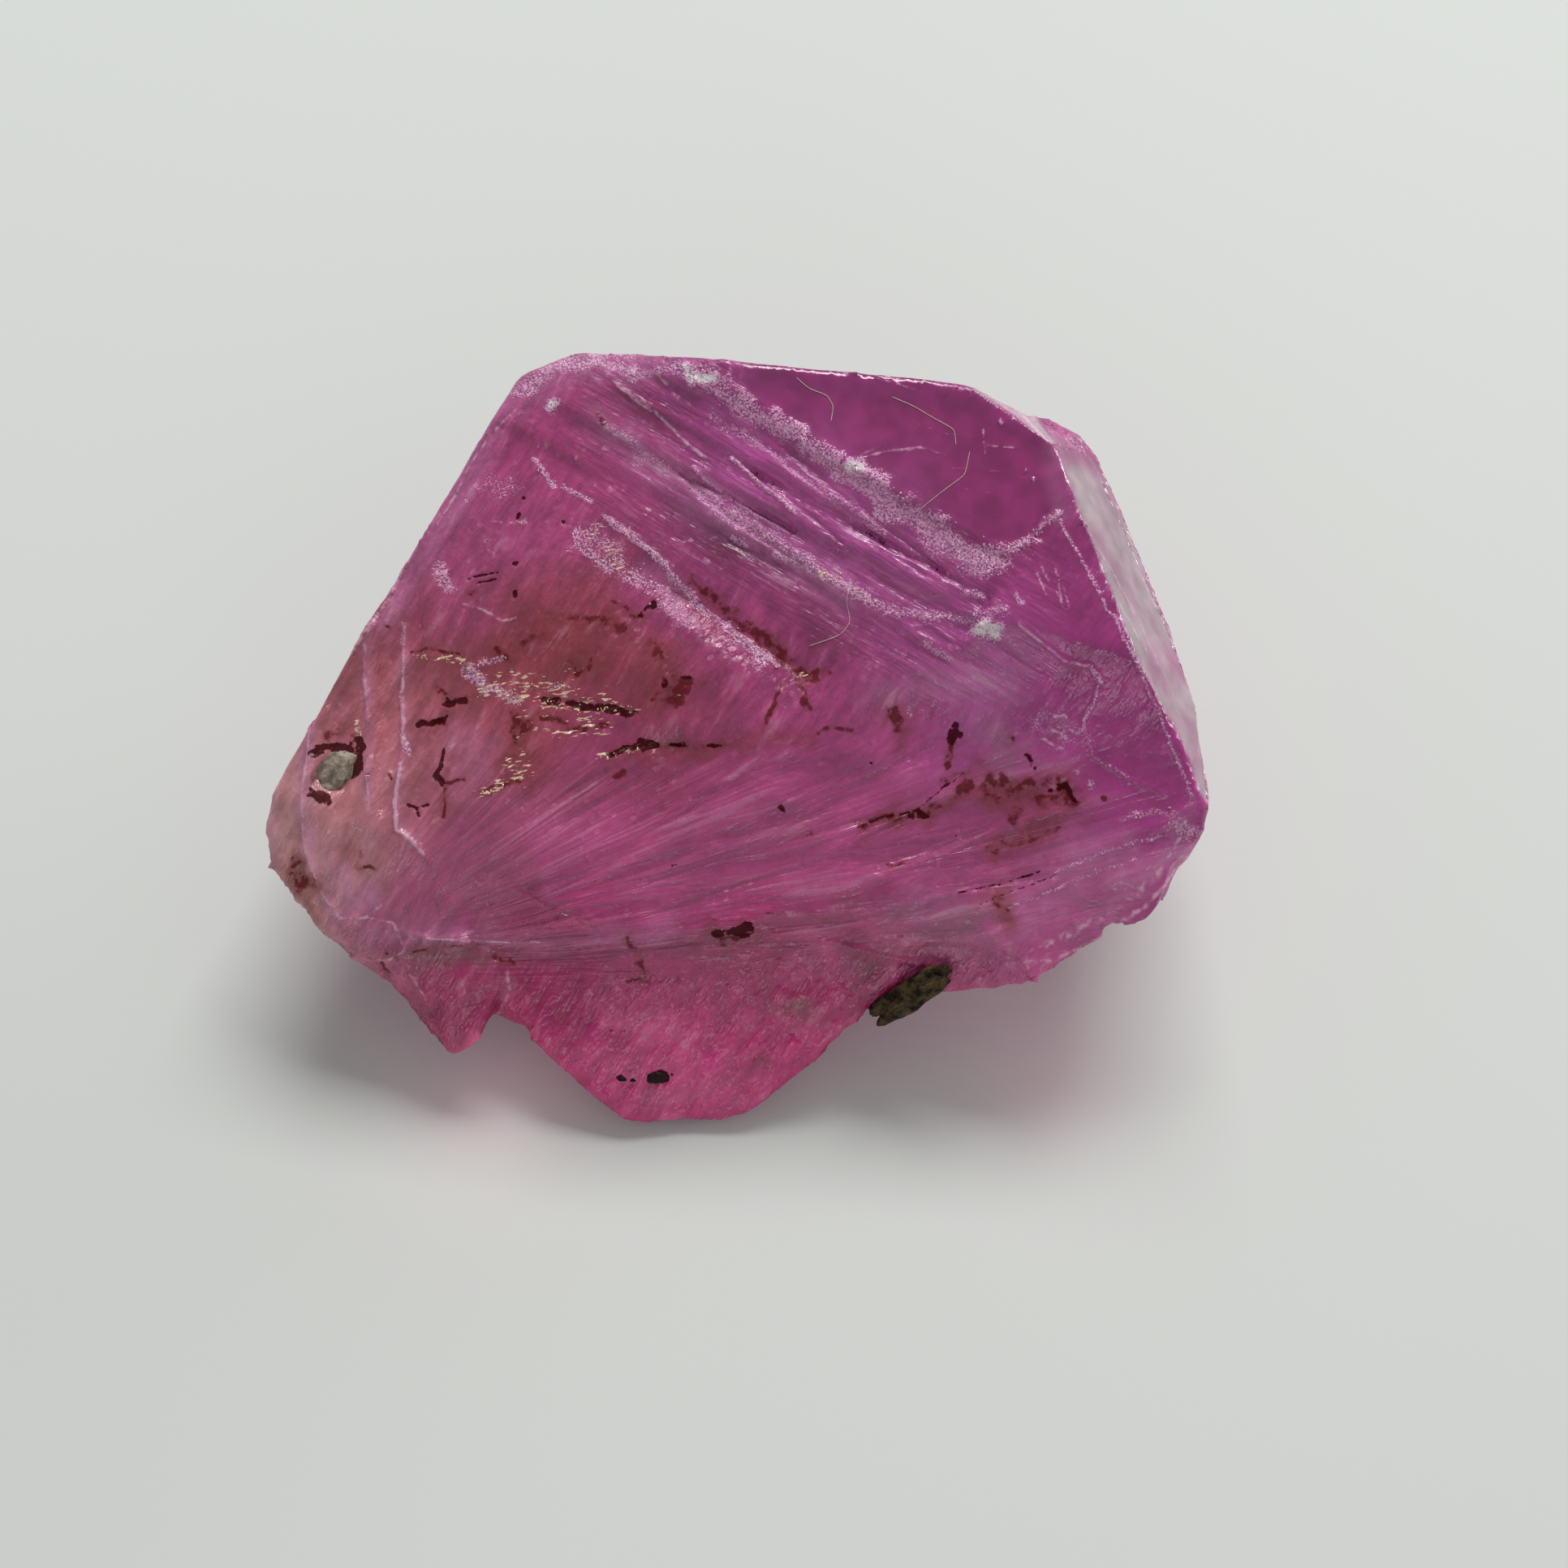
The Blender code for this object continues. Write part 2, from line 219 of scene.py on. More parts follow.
RIDGE = [
    (4.8, 0.018, 891, 472, 976, 521, 1013, 548, 1051, 575, 1099, 601, 1141, 633, 1195, 665, 1232,
     681),
    (3.2, 0.022, 976, 560, 1045, 613, 1077, 644, 1131, 687, 1173, 719, 1216, 740),
    (3.2, 0.03, 899, 563, 939, 596, 981, 634),
    (2.7, 0.022, 852, 575, 880, 599, 933, 636, 976, 660),
    (6.4, 0.016, 848, 604, 907, 641, 987, 689, 1056, 735),
    (7.5, 0.026, 800, 676, 832, 713, 869, 751, 907, 778, 944, 809, 976, 833),
    (6.4, 0.016, 1056, 735, 1120, 757, 1184, 762, 1237, 752),
    (4.3, 0.022, 1120, 778, 1144, 788, 1169, 814),
    (2.7, 0.014, 1120, 775, 1147, 769, 1173, 788, 1179, 804),
    (4.8, 0.016, 1235, 682, 1259, 670, 1285, 650, 1304, 628),
    (3.2, 0.02, 1252, 767, 1280, 788, 1312, 814, 1343, 820, 1355, 841, 1344, 873, 1333, 900, 1349,
     932, 1392, 960, 1440, 980),
    (6.9, 0.02, 745, 637, 780, 663, 810, 684, 832, 719),
    (3.9, 0.016, 463, 764, 450, 783, 448, 835, 452, 891),
    (4.3, 0.018, 499, 766, 496, 835, 498, 913),
    (4.3, 0.024, 381, 876, 379, 937, 372, 980, 374, 1036, 383, 1067, 398, 1101, 420, 1132),
    (3.9, 0.022, 494, 850, 496, 893, 494, 937, 487, 989, 489, 1023, 507, 1036, 524, 1054, 535,
     1069),
    (5, 0.026, 470, 1140, 524, 1156, 667, 1160, 780, 1150, 900, 1142, 1000, 1155, 1100, 1180, 1180,
     1196),
]
FURROW = [
    (4.3, 0.04, 960, 546, 1024, 598, 1099, 657, 1168, 711, 1208, 740),
    (3.2, 0.02, 923, 535, 960, 564, 1013, 607, 1077, 660, 1141, 711),
    (4.3, 0.035, 837, 580, 869, 615, 917, 649, 976, 689, 1013, 711),
    (2.7, 0.022, 912, 569, 960, 607, 1003, 639, 1040, 671),
    (7.5, 0.03, 1077, 711, 1141, 740, 1216, 745),
    (6.1, 0.024, 476, 796, 474, 857, 476, 909),
    (5.2, 0.022, 474, 854, 472, 902, 470, 963, 476, 1006),
]
GOLD = [
    (24, 0.62, 600, 835, 690, 850, 760, 880),
    (15, 0.62, 640, 880, 640, 955, 590, 985),
    (10, 0.66, 655, 900, 760, 895),
    (9, 0.72, 745, 931, 800, 918),
    (24, 0.56, 720, 655, 760, 690),
    (9, 0.6, 1060, 575, 1040, 590),
    (8.5, 1, 1013, 705, 1035, 716),
    (6.4, 0.9, 1055, 729, 1067, 737),
    (4.8, 0.6, 987, 833, 1013, 831),
    (13, 0.5, 728, 666, 758, 683),
    (9.5, 0.6, 827, 846, 836, 852),
    (8.7, 0.4, 784, 813, 801, 796),
    (5.2, 0.8, 507, 809, 567, 813, 589, 833),
    (8.7, 0.9, 593, 846, 632, 859, 663, 842),
    (5.2, 0.8, 663, 842, 706, 848),
    (6.1, 0.9, 667, 865, 723, 876, 784, 872),
    (5.2, 0.7, 706, 883, 749, 898),
    (6.9, 0.6, 632, 876, 637, 906, 628, 937, 637, 958),
    (6.1, 0.8, 637, 958, 613, 976, 593, 980),
    (5.2, 1, 743, 931, 771, 928, 784, 924),
    (4.3, 1, 440, 889, 442, 906),
    (2.6, 1, 431, 937, 433, 939),
    (2.6, 1, 390, 922, 391, 923),
]
STAIN = [
    (22, 0.9, 1215, 968, 1260, 985, 1315, 985),
    (14, 0.8, 1085, 1012, 1150, 1000, 1195, 975),
    (20, 0.7, 1225, 1045, 1300, 1020),
    (18, 0.7, 1225, 1100, 1245, 1135),
    (30, 0.5, 660, 780, 740, 800, 700, 840),
    (26, 0.7, 795, 800, 830, 850),
    (20, 0.6, 655, 890, 640, 960),
    (14, 0.7, 575, 868, 530, 890),
    (12, 0.7, 760, 930, 900, 917, 1000, 905),
    (16, 0.6, 600, 805, 680, 775),
    (12, 0.7, 560, 935, 545, 1000),
    (20, 0.7, 365, 1070, 380, 1100),
    (13, 0.7, 880, 1150, 915, 1146),
    (16, 0.5, 870, 745, 990, 835),
    (20, 0.5, 420, 990, 440, 1050),
    (14, 0.6, 1095, 880, 1110, 905),
]
HAZE = [
    (7, 0.35, 499, 766, 497, 835, 498, 925, 489, 1000, 510, 1040),
    (6, 0.5, 457, 764, 450, 830, 452, 891, 455, 985),
    (10, 0.8, 381, 876, 376, 937, 372, 1000, 383, 1067, 420, 1132),
    (16, 0.7, 640, 470, 600, 540, 560, 620, 515, 690, 470, 770),
    (22, 0.8, 650, 470, 720, 445, 800, 450),
    (26, 0.5, 560, 900, 590, 930, 560, 960),
    (14, 0.6, 450, 1150, 560, 1150, 680, 1165, 820, 1150),
    (20, 0.6, 1080, 860, 1150, 840, 1240, 850),
    (22, 0.85, 850, 610, 915, 652, 990, 698, 1040, 732),
    (22.4, 0.5, 1216, 895, 1248, 927),
    (12.8, 0.6, 1296, 548, 1301, 596, 1307, 633),
    (19.5, 0.6, 628, 501, 667, 475, 723, 458),
    (23.8, 0.8, 741, 519, 775, 549, 823, 584, 897, 640),
    (13, 0.5, 801, 701, 836, 735),
    (17.3, 0.8, 411, 1075, 437, 1110),
    (13, 0.9, 450, 1093, 457, 1110),
    (17.3, 0.5, 329, 989, 329, 1058),
    (16.8, 0.6, 1450, 1048, 1400, 1098, 1333, 1143),
    (33.6, 0.75, 1380, 1060, 1344, 1060, 1271, 1132),
    (33.6, 0.45, 1126, 1115, 1238, 1143),
]
RUST = [
    (8.5, 0.7, 848, 719, 885, 741, 923, 771, 955, 802, 981, 828),
    (9.6, 1, 981, 831, 1013, 833),
    (4.8, 0.9, 979, 839, 997, 873),
    (4.3, 0.8, 961, 847, 944, 895),
    (4.8, 1, 1168, 911, 1168, 943),
    (4.8, 1, 1247, 906, 1249, 911),
    (6.4, 0.8, 1102, 876, 1104, 903),
    (3.7, 0.8, 1011, 903, 1029, 895, 1051, 897),
    (3.2, 0.7, 995, 876, 987, 860),
    (6.4, 0.9, 1061, 1020, 1099, 1004, 1131, 1001, 1163, 986, 1195, 969),
    (13.9, 0.8, 1221, 964, 1259, 980, 1296, 977),
    (7.5, 0.5, 1216, 1049, 1248, 1033, 1280, 1017, 1323, 1007),
    (6.1, 0.9, 739, 515, 743, 518),
    (2.2, 0.9, 705, 683, 706, 684),
    (4.8, 0.9, 578, 732, 585, 729),
    (2.6, 0.9, 507, 803, 537, 800, 567, 807),
    (5.2, 0.7, 611, 795, 629, 814),
    (5.2, 0.6, 644, 798, 668, 778),
    (6.1, 0.6, 689, 761, 723, 767, 749, 761),
    (4.3, 0.8, 755, 740, 771, 753, 788, 764),
    (6.9, 0.7, 741, 767, 767, 772),
    (16.5, 1, 825, 839, 837, 854),
    (11.3, 0.7, 808, 794, 827, 826),
    (3.9, 0.9, 702, 818, 712, 833, 726, 826, 726, 809),
    (5.2, 0.9, 667, 878, 706, 896, 749, 891),
    (5.2, 0.9, 535, 844, 544, 854),
    (4.8, 0.9, 533, 887, 546, 898),
    (7.8, 0.9, 637, 898, 654, 896),
    (26, 0.3, 671, 783, 758, 783),
    (30.3, 0.22, 559, 787, 645, 796),
    (5.2, 0.6, 476, 772, 494, 779),
    (11.3, 1, 370, 1075, 371, 1093),
    (2.6, 0.8, 440, 1069, 457, 1066, 464, 1075),
    (3, 0.6, 444, 1047, 447, 1054),
    (5.6, 1, 473, 1194, 476, 1199),
    (2.6, 0.9, 475, 1174, 476, 1176),
    (2.6, 0.7, 509, 1173, 524, 1171),
    (1.7, 0.6, 550, 1165, 589, 1164),
    (3.5, 0.9, 611, 1182, 632, 1190),
    (5.2, 1, 628, 1188, 634, 1192),
    (6.1, 0.6, 771, 1159, 780, 1173, 790, 1186),
    (3, 0.9, 790, 1186, 795, 1205, 775, 1208),
    (1.7, 0.6, 712, 1169, 728, 1167),
    (5.2, 0.9, 888, 1160, 905, 1157),
    (1.5, 0.6, 840, 1138, 879, 1134, 918, 1133),
    (3.9, 0.8, 688, 1258, 697, 1262),
    (5.2, 0.6, 908, 1316, 911, 1320),
    (2.6, 0.9, 481, 953, 482, 958),
    (2.2, 1, 546, 965, 572, 963),
    (2.2, 0.9, 550, 967, 548, 984, 548, 1010),
    (3, 0.8, 548, 1002, 547, 1009),
    (6.9, 0.8, 634, 876, 638, 906, 628, 937),
    (6.1, 0.8, 637, 958, 613, 976, 593, 980),
    (5.2, 0.7, 823, 918, 853, 916, 897, 918),
    (5.2, 1, 761, 960, 772, 957),
    (13, 0.6, 398, 898, 429, 902),
    (6.2, 1, 763, 960, 771, 957),
    (3.4, 0.7, 995, 1030, 1001, 1029),
    (2.8, 0.6, 1092, 1066, 1116, 1063),
    (5.6, 0.7, 1159, 964, 1188, 954),
    (15.7, 0.55, 1238, 1000, 1294, 995, 1316, 981),
    (5.6, 0.6, 1221, 1049, 1260, 1037, 1310, 1020),
    (3.4, 0.9, 1235, 1118, 1240, 1121),
    (9, 0.6, 1226, 1110, 1232, 1138),
    (9, 0.35, 1047, 1160, 1081, 1194),
    (2.8, 0.5, 1002, 1230, 1014, 1236),
    (3.4, 0.8, 1361, 981, 1364, 983),
    (4.5, 0.7, 932, 1307, 941, 1308),
    (2.2, 0.6, 943, 1124, 964, 1124),
    (2.8, 0.5, 1000, 1126, 1022, 1135),
]
# Pale hairline scratches; the rows along the lip and the ledges of the end face are painted
# highlights.
SCRATCHES_AND_PAINTED_HIGHLIGHTS = [
    (1.6, 0.8, 1277, 705, 1290, 735),
    (1.6, 0.8, 1283, 697, 1293, 719),
    (1.6, 0.9, 1296, 692, 1304, 711, 1308, 740),
    (1.6, 0.8, 1309, 719, 1318, 751),
    (1.6, 0.6, 1301, 727, 1313, 755),
    (2.1, 0.8, 1252, 767, 1280, 788, 1312, 814, 1343, 820),
    (2.1, 0.9, 1296, 883, 1312, 880, 1320, 892),
    (2.1, 0.9, 1291, 897, 1307, 903, 1320, 913),
    (2.1, 0.8, 1283, 908, 1299, 919, 1317, 924),
    (2.1, 0.8, 1315, 895, 1325, 903, 1333, 900),
    (1.6, 0.7, 1211, 527, 1214, 560),
    (1.6, 0.7, 1210, 548, 1256, 552),
    (1.9, 0.7, 1056, 565, 1099, 555, 1137, 551),
    (1.6, 0.5, 1115, 556, 1141, 552, 1169, 563),
    (1.6, 0.5, 1055, 563, 1092, 547, 1097, 540),
    (1.3, 0.35, 1125, 521, 1168, 535, 1205, 540),
    (1.3, 0.35, 1163, 576, 1227, 580, 1280, 593),
    (1.3, 0.35, 1147, 596, 1205, 604, 1275, 623),
    (1.3, 0.3, 1173, 631, 1221, 633, 1269, 644),
    (1.6, 0.6, 1077, 465, 1104, 472, 1136, 484),
    (2.1, 1, 1211, 478, 1253, 503, 1293, 545),
    (1.6, 0.5, 1333, 644, 1365, 697, 1403, 767, 1445, 857),
    (1.6, 0.5, 1376, 740, 1392, 769, 1413, 804),
    (2.2, 0.9, 619, 488, 593, 532, 567, 571, 546, 614, 515, 666, 472, 748, 429, 813),
    (1.7, 0.7, 637, 504, 604, 536, 578, 575, 561, 610, 537, 649),
    (2.6, 0.9, 745, 458, 767, 479, 804, 508),
    (2.2, 0.8, 808, 458, 823, 475, 837, 494),
    (2.2, 0.8, 788, 490, 810, 510, 845, 545, 871, 566),
    (2.2, 0.9, 771, 662, 801, 679, 832, 698),
    (2.2, 0.7, 463, 764, 451, 783, 449, 835, 454, 891),
    (2.2, 0.8, 499, 766, 496, 835, 498, 913),
    (1.7, 0.6, 602, 642, 637, 645, 651, 637),
    (1.7, 0.5, 593, 657, 603, 680),
    (2.2, 0.7, 567, 744, 593, 750, 619, 765, 638, 761),
    (1.7, 0.4, 654, 818, 676, 796, 695, 770, 706, 740),
    (1.7, 0.8, 381, 876, 379, 937, 372, 980, 374, 1036, 383, 1067, 398, 1101, 420, 1132, 450, 1131,
     472, 1114),
    (2.6, 1, 494, 850, 496, 893, 495, 924),
    (3, 1, 494, 937, 487, 989, 489, 1023, 507, 1036, 524, 1054),
    (1.7, 0.5, 444, 850, 444, 915, 452, 963, 456, 1002),
    (1.7, 0.6, 336, 1106, 377, 1145, 429, 1183),
    (1.7, 0.6, 385, 1110, 424, 1134),
    (2.2, 0.6, 450, 1130, 485, 1137, 499, 1171, 476, 1184, 433, 1180),
    (1.7, 0.8, 524, 1156, 567, 1158, 628, 1161, 667, 1160),
    (2.2, 0.6, 502, 1197, 520, 1223, 527, 1242),
    (2.2, 0.5, 567, 1205, 574, 1227),
    (3.5, 0.5, 624, 1188, 627, 1223, 613, 1251, 591, 1277),
    (2.2, 0.4, 969, 1234, 986, 1227, 1009, 1232),
    (3.4, 0.7, 1491, 1012, 1468, 1055, 1414, 1115, 1347, 1160, 1295, 1184, 1240, 1188),
    (2.8, 0.7, 1457, 1027, 1428, 1076, 1375, 1120, 1306, 1160, 1238, 1182),
    (2.8, 0.5, 1445, 1065, 1400, 1104, 1344, 1135, 1277, 1166),
]
OLIVE = [
    (21.3, 0.5, 1221, 900, 1243, 927),
    (5.2, 0.9, 753, 686, 755, 688),
    (14.7, 0.8, 507, 1171, 550, 1175, 602, 1177),
    (22.4, 0.6, 1193, 1132, 1238, 1121),
    (20.2, 0.4, 1092, 1171, 1182, 1149),
    (19, 0.9, 980, 1244, 994, 1247),
]
SOOT = [
    (5.9, 1, 1177, 894, 1169, 913),
    (4.3, 0.9, 1180, 903, 1183, 908),
    (3.2, 1, 1267, 932, 1275, 947),
    (1.9, 1, 1072, 940, 1073, 941),
    (3.7, 0.7, 960, 995, 967, 1003),
    (5.9, 0.8, 1120, 1006, 1135, 1002),
    (3.2, 0.9, 1293, 974, 1313, 969, 1323, 985),
    (2.2, 1, 645, 613, 646, 613),
    (2.6, 1, 638, 637, 640, 634),
    (3, 1, 696, 642, 698, 643),
    (2.6, 1, 632, 696, 637, 693),
    (3, 1, 634, 729, 635, 734),
    (1.7, 0.9, 578, 713, 596, 708, 612, 705),
    (1.5, 0.8, 589, 719, 611, 713),
    (3.9, 0.9, 788, 762, 797, 751, 806, 744),
    (3.5, 0.7, 816, 835, 818, 846),
    (2.6, 0.7, 840, 834, 849, 836),
    (4.8, 0.9, 671, 861, 723, 871, 780, 877),
    (4.8, 1, 546, 864, 555, 866, 572, 864),
    (3.9, 1, 513, 892, 533, 888, 544, 891, 546, 883),
    (6.9, 0.9, 882, 1152, 901, 1149, 920, 1145),
    (1.1, 0.5, 702, 1269, 732, 1271, 771, 1270),
    (6.5, 1.3, 806, 1324, 815, 1327),
    (2.6, 1.1, 765, 1329, 768, 1328),
    (1.5, 1, 778, 1324, 778, 1325),
    (1.5, 1, 779, 1334, 781, 1334),
    (1.5, 1, 827, 1324, 828, 1324),
    (1.7, 1.1, 502, 991, 512, 996, 526, 991),
    (1.7, 1.1, 512, 996, 516, 1006),
    (3, 1, 547, 924, 542, 943, 537, 958),
    (3.9, 1, 537, 954, 546, 965),
    (3.9, 1.2, 749, 931, 771, 924, 793, 917, 810, 919),
    (5.2, 1.2, 784, 918, 804, 918),
    (3, 0.8, 827, 918, 853, 916, 888, 919),
    (9, 1, 441, 916, 438, 945),
    (7, 1, 383, 927, 400, 921, 425, 924),
    (8, 1, 386, 975, 404, 984),
    (5.2, 0.9, 391, 978, 393, 977),
    (3.9, 0.7, 960, 996, 966, 1001),
    (1.7, 0.7, 1064, 1017, 1092, 1006, 1131, 998, 1159, 972, 1183, 957),
    (4.5, 0.9, 1120, 1004, 1140, 1002),
    (1.4, 0.6, 1182, 1100, 1238, 1087, 1282, 1073),
    (1.4, 0.5, 1204, 1115, 1254, 1096, 1305, 1076),
    (1.7, 0.8, 829, 1065, 834, 1066),
    (1.7, 0.8, 731, 1087, 732, 1088),
    (1.7, 0.8, 1178, 1030, 1179, 1030),
    (1.7, 0.8, 830, 1080, 831, 1080),
]
PALE = [
    (4.8, 0.9, 1205, 479, 1253, 506, 1283, 532),
    (3.2, 0.9, 1227, 485, 1264, 505, 1296, 543),
]
ORANGE = [
    (19.5, 0.9, 366, 1067, 390, 1106),
    (39, 0.35, 342, 1015, 355, 1075),
]
# Painted glow: bright pink where light comes through the lower wedge.
PAINTED_GLOW = [
    (7.8, 0.9, 581, 1288, 588, 1277),
    (11.3, 0.4, 550, 1292, 572, 1305),
    (15.6, 1, 780, 1268, 810, 1264, 836, 1274),
    (9, 0.8, 745, 1258, 770, 1262),
    (13, 0.5, 715, 1279, 758, 1305),
    (39, 0.45, 758, 1309, 832, 1327, 897, 1327),
    (14.7, 0.9, 806, 1361, 836, 1353, 875, 1342),
    (11.3, 1, 819, 1381, 832, 1385),
]
# Painted shade: a darker tint under the lip, below the ridge, on the tooth and in the crevice; the
# thin rows on the side facet are its own dark streaks.
PAINTED_SHADE_AND_DARK_STREAKS = [
    (22, 0.35, 640, 975, 720, 960, 830, 950),
    (26, 0.35, 850, 820, 880, 890),
    (30, 0.25, 690, 1225, 860, 1215),
    (36, 0.8, 890, 680, 960, 730, 1030, 790),
    (24, 0.4, 540, 1245, 560, 1290),
    (30, 0.3, 800, 620, 860, 660),
    (4.5, 0.9, 1388, 640, 1430, 715, 1482, 850),
    (2.4, 0.8, 1358, 610, 1414, 700, 1468, 835),
    (2.0, 0.6, 1330, 640, 1372, 720, 1440, 880),
    (13, 0.5, 424, 815, 422, 870, 424, 905),
    (13, 0.6, 500, 1172, 620, 1180, 780, 1170, 900, 1160, 1000, 1174),
    (22.4, 0.9, 1050, 1160, 1064, 1182, 1075, 1199),
    (19, 0.4, 980, 1244, 994, 1247),
]
MARKS = {
    "frost_and_highlight": FROST_AND_PAINTED_HIGHLIGHTS, "ridge": RIDGE, "furrow": FURROW, "gold": GOLD, "stain": STAIN, "haze": HAZE,
    "rust": RUST, "scratch_and_highlight": SCRATCHES_AND_PAINTED_HIGHLIGHTS, "olive": OLIVE, "soot": SOOT, "pale": PALE, "orange": ORANGE,
    "glow": PAINTED_GLOW, "shade": PAINTED_SHADE_AND_DARK_STREAKS,
}
for marks in MARKS.values():
    marks[:] = [(row[0], row[1], np.reshape(row[2:], (-1, 2))) for row in marks]

# Marks with soft edges, which need no finer skin.
SOFT_KINDS = ("haze", "stain", "orange", "glow", "shade", "olive")

# Marks with crisp edges, and marks that thin out at their ends.
CRISP_KINDS = ("soot", "pale")
TAPERED_KINDS = ("ridge", "furrow", "scratch_and_highlight")

# Where the broken front is rounder than the solid, in pixels: reach, then the line.
ROUNDED = [
    (48, [(720, 930), (900, 925), (1080, 915)]),
    (45, [(1120, 965), (1250, 945), (1330, 930)]),
    (60, [(560, 1010), (700, 1040), (900, 1060), (1100, 1080), (1300, 1080)]),
    (50, [(760, 880), (900, 900), (1000, 880)]),
    (40, [(480, 1130), (560, 1200), (620, 1240)]),
    (14, [(880, 490), (1050, 610), (1230, 720)]),
    (40, [(760, 637), (845, 704), (920, 769), (1000, 835)]),
    (45, [(570, 1090), (590, 1140), (625, 1190), (650, 1210)]),
]

# Where the broken rim stands out a little further than the solid: reach and line in pixels, how
# far in mm, and which way in the picture.
SWELLS = [
    (62, [(1390, 1120), (1330, 1150), (1270, 1178)], 0.26, (0.447, 0.894)),
    (56, [(665, 1262), (720, 1310), (770, 1350)], 0.26, (-0.657, 0.754)),
]

# How far a mark's edge wanders, as a share of its width.
RAGGED = {
    "frost_and_highlight": 0.88, "rust": 1.12, "soot": 0.8, "gold": 0.96, "haze": 0.48, "olive": 0.8,
    "ridge": 0.4, "furrow": 0.4, "scratch_and_highlight": 0.192, "pale": 0.16, "glow": 0.64,
    "orange": 0.48, "shade": 0.64, "stain": 0.96,
}

# The fan of fine, slightly curved lines on the broken front: where it starts, and how it bends.
FAN = np.array([395.0, 1180.0])
FAN_BEND = 1.4e-4

# Lines of pixels along the middle of the broken front, the stepped end face and the side facet.
FRONT_LINE = [(620, 1070), (850, 1065), (1100, 1035), (1380, 1050)]
STEP_LINE = [(820, 540), (1000, 640), (1200, 750)]
FACET_LINE = [(1320, 620), (1380, 700), (1440, 860), (1480, 980)]

# Polished faces: how polished, and the line along the middle.
POLISHED = [
    (1.0, [(1000, 480), (1120, 540), (1240, 600)]),
    (0.35, [(1290, 690), (1370, 830), (1420, 930)]),
]

# Thin pale fibres that lie on the stone, as lines of pixels.
FIBRES = [
    [(981, 465), (997, 479), (1019, 487), (1027, 500), (1024, 519)],
    [(1099, 489), (1125, 500), (1152, 516), (1176, 529), (1178, 548)],
    [(1195, 556), (1189, 585), (1163, 604), (1133, 628)],
    [(1048, 713), (1043, 740), (1048, 767), (1035, 783), (997, 796)],
]

# Grains of other minerals: a pixel, two ends in mm, and pixels with a size in mm and a seed.
GREY_GRAIN = (403, 955)
OLIVE_START, OLIVE_END = np.array([1.82, -4.06, 1.28]), np.array([2.78, -3.72, 2.04])
SPECKS = [(810, 1325, 0.115, 3), (767, 1329, 0.05, 4), (780, 1331, 0.03, 6)]

# What each kind of mark mixes into the body colour, and how much of it.
TINTS = {
    "haze": ((0.86, 0.32, 0.66), 0.55),
    "orange": ((0.62, 0.20, 0.10), 0.45),
    # A painted glow where light comes through the stone.
    "glow": ((0.98, 0.11, 0.38), 0.9),
    # Painted shade, and the side facet's dark streaks.
    "shade": ((0.14, 0.015, 0.07), 0.6),
    "olive": ((0.30, 0.15, 0.13), 0.6),
    "rust": ((0.36, 0.045, 0.045), 0.6),
    "stain": ((0.34, 0.040, 0.050), 0.75),
}
# The pale tint of pale marks and of the painted sheen on the side facet.
PALE_TINT = (0.80, 0.64, 0.70)

# Heights of the relief, in mm: on marks, on the crystal's own growth lines, and on its breaks.
SCRATCH_RISE = 0.008
FROST_GRAIN = 0.006
GOLD_GRAIN = 0.012
SOOT_DEPTH = 0.012
RUST_DEPTH = 0.005
LINE_RISE = 0.006
WAVE_RISE = 0.010
RIPPLE_RISE = 0.0022
CREASE_RISE = 0.018

# Marks on the side that the photograph doesn't show: how strong, from which to which height of
# the noise they go from none to all, and the noise's size, seed and octaves.
HIDDEN_MARKS = (
    ("frost_and_highlight", 0.7, (0.45, 1.0), (0.6, 81, 4)),
    ("rust", 0.7, (0.6, 1.1), (0.45, 83, 4)),
    ("haze", 0.5, (0.0, 1.0), (1.8, 85, 3)),
)


# Noise.


def lattice(points, size, seed):
    """Smooth noise from -1 to 1 with features about as large as size."""
    p = points / size + 37.7 * seed + 1000.0
    cell = np.floor(p).astype(np.int64)
    f = p - cell
    f = f * f * f * (f * (f * 6 - 15) + 10)
    total = np.zeros(len(points))
    for corner in range(8):
        step = np.array([corner & 1, corner >> 1 & 1, corner >> 2 & 1])
        c = cell + step
        h = c[:, 0] * 374761393 + c[:, 1] * 668265263 + c[:, 2] * 2147483647 + seed * 974634777
        h = (h ^ (h >> 13)) * 1274126177 & 0xFFFFFFFF
        h = (h ^ (h >> 16)) & 0xFFFFFF
        weight = np.prod(np.where(step == 1, f, 1 - f), axis=1)
        total += weight * (h / 0x7FFFFF - 1.0)
    return total


def fractal(points, size, seed, octaves=4, fade=0.5):
    total = np.zeros(len(points))
    share = 1.0
    for octave in range(octaves):
        total += share * lattice(points, size / 2**octave, seed + 11 * octave)
        share *= fade
    return total


def smooth(low, high, value):
    t = np.clip((value - low) / (high - low), 0.0, 1.0)
    return t * t * (3 - 2 * t)


def unit(vectors):
    return vectors / np.maximum(np.linalg.norm(vectors, axis=-1, keepdims=True), 1e-12)


# The photograph's lines of sight.


def seen_at(points):
    """Where the photograph's camera sees points of the stone, in the photograph's pixels."""
    ray = points - CAMERA
    depth = ray @ FORWARD
    u = IMAGE / 2 + FOCAL * (ray @ RIGHTWARD) / depth
    v = IMAGE / 2 - FOCAL * (ray @ UPWARD) / depth
    return np.stack([u, v], axis=1)


def sight(u, v):
    """The direction of the photograph's line of sight through a pixel."""
    ray = FORWARD + RIGHTWARD * (u - IMAGE / 2) / FOCAL - UPWARD * (v - IMAGE / 2) / FOCAL
    return Vector(ray).normalized()


def toward_camera(points, normals):
    return np.sum(unit(CAMERA - points) * normals, axis=1)


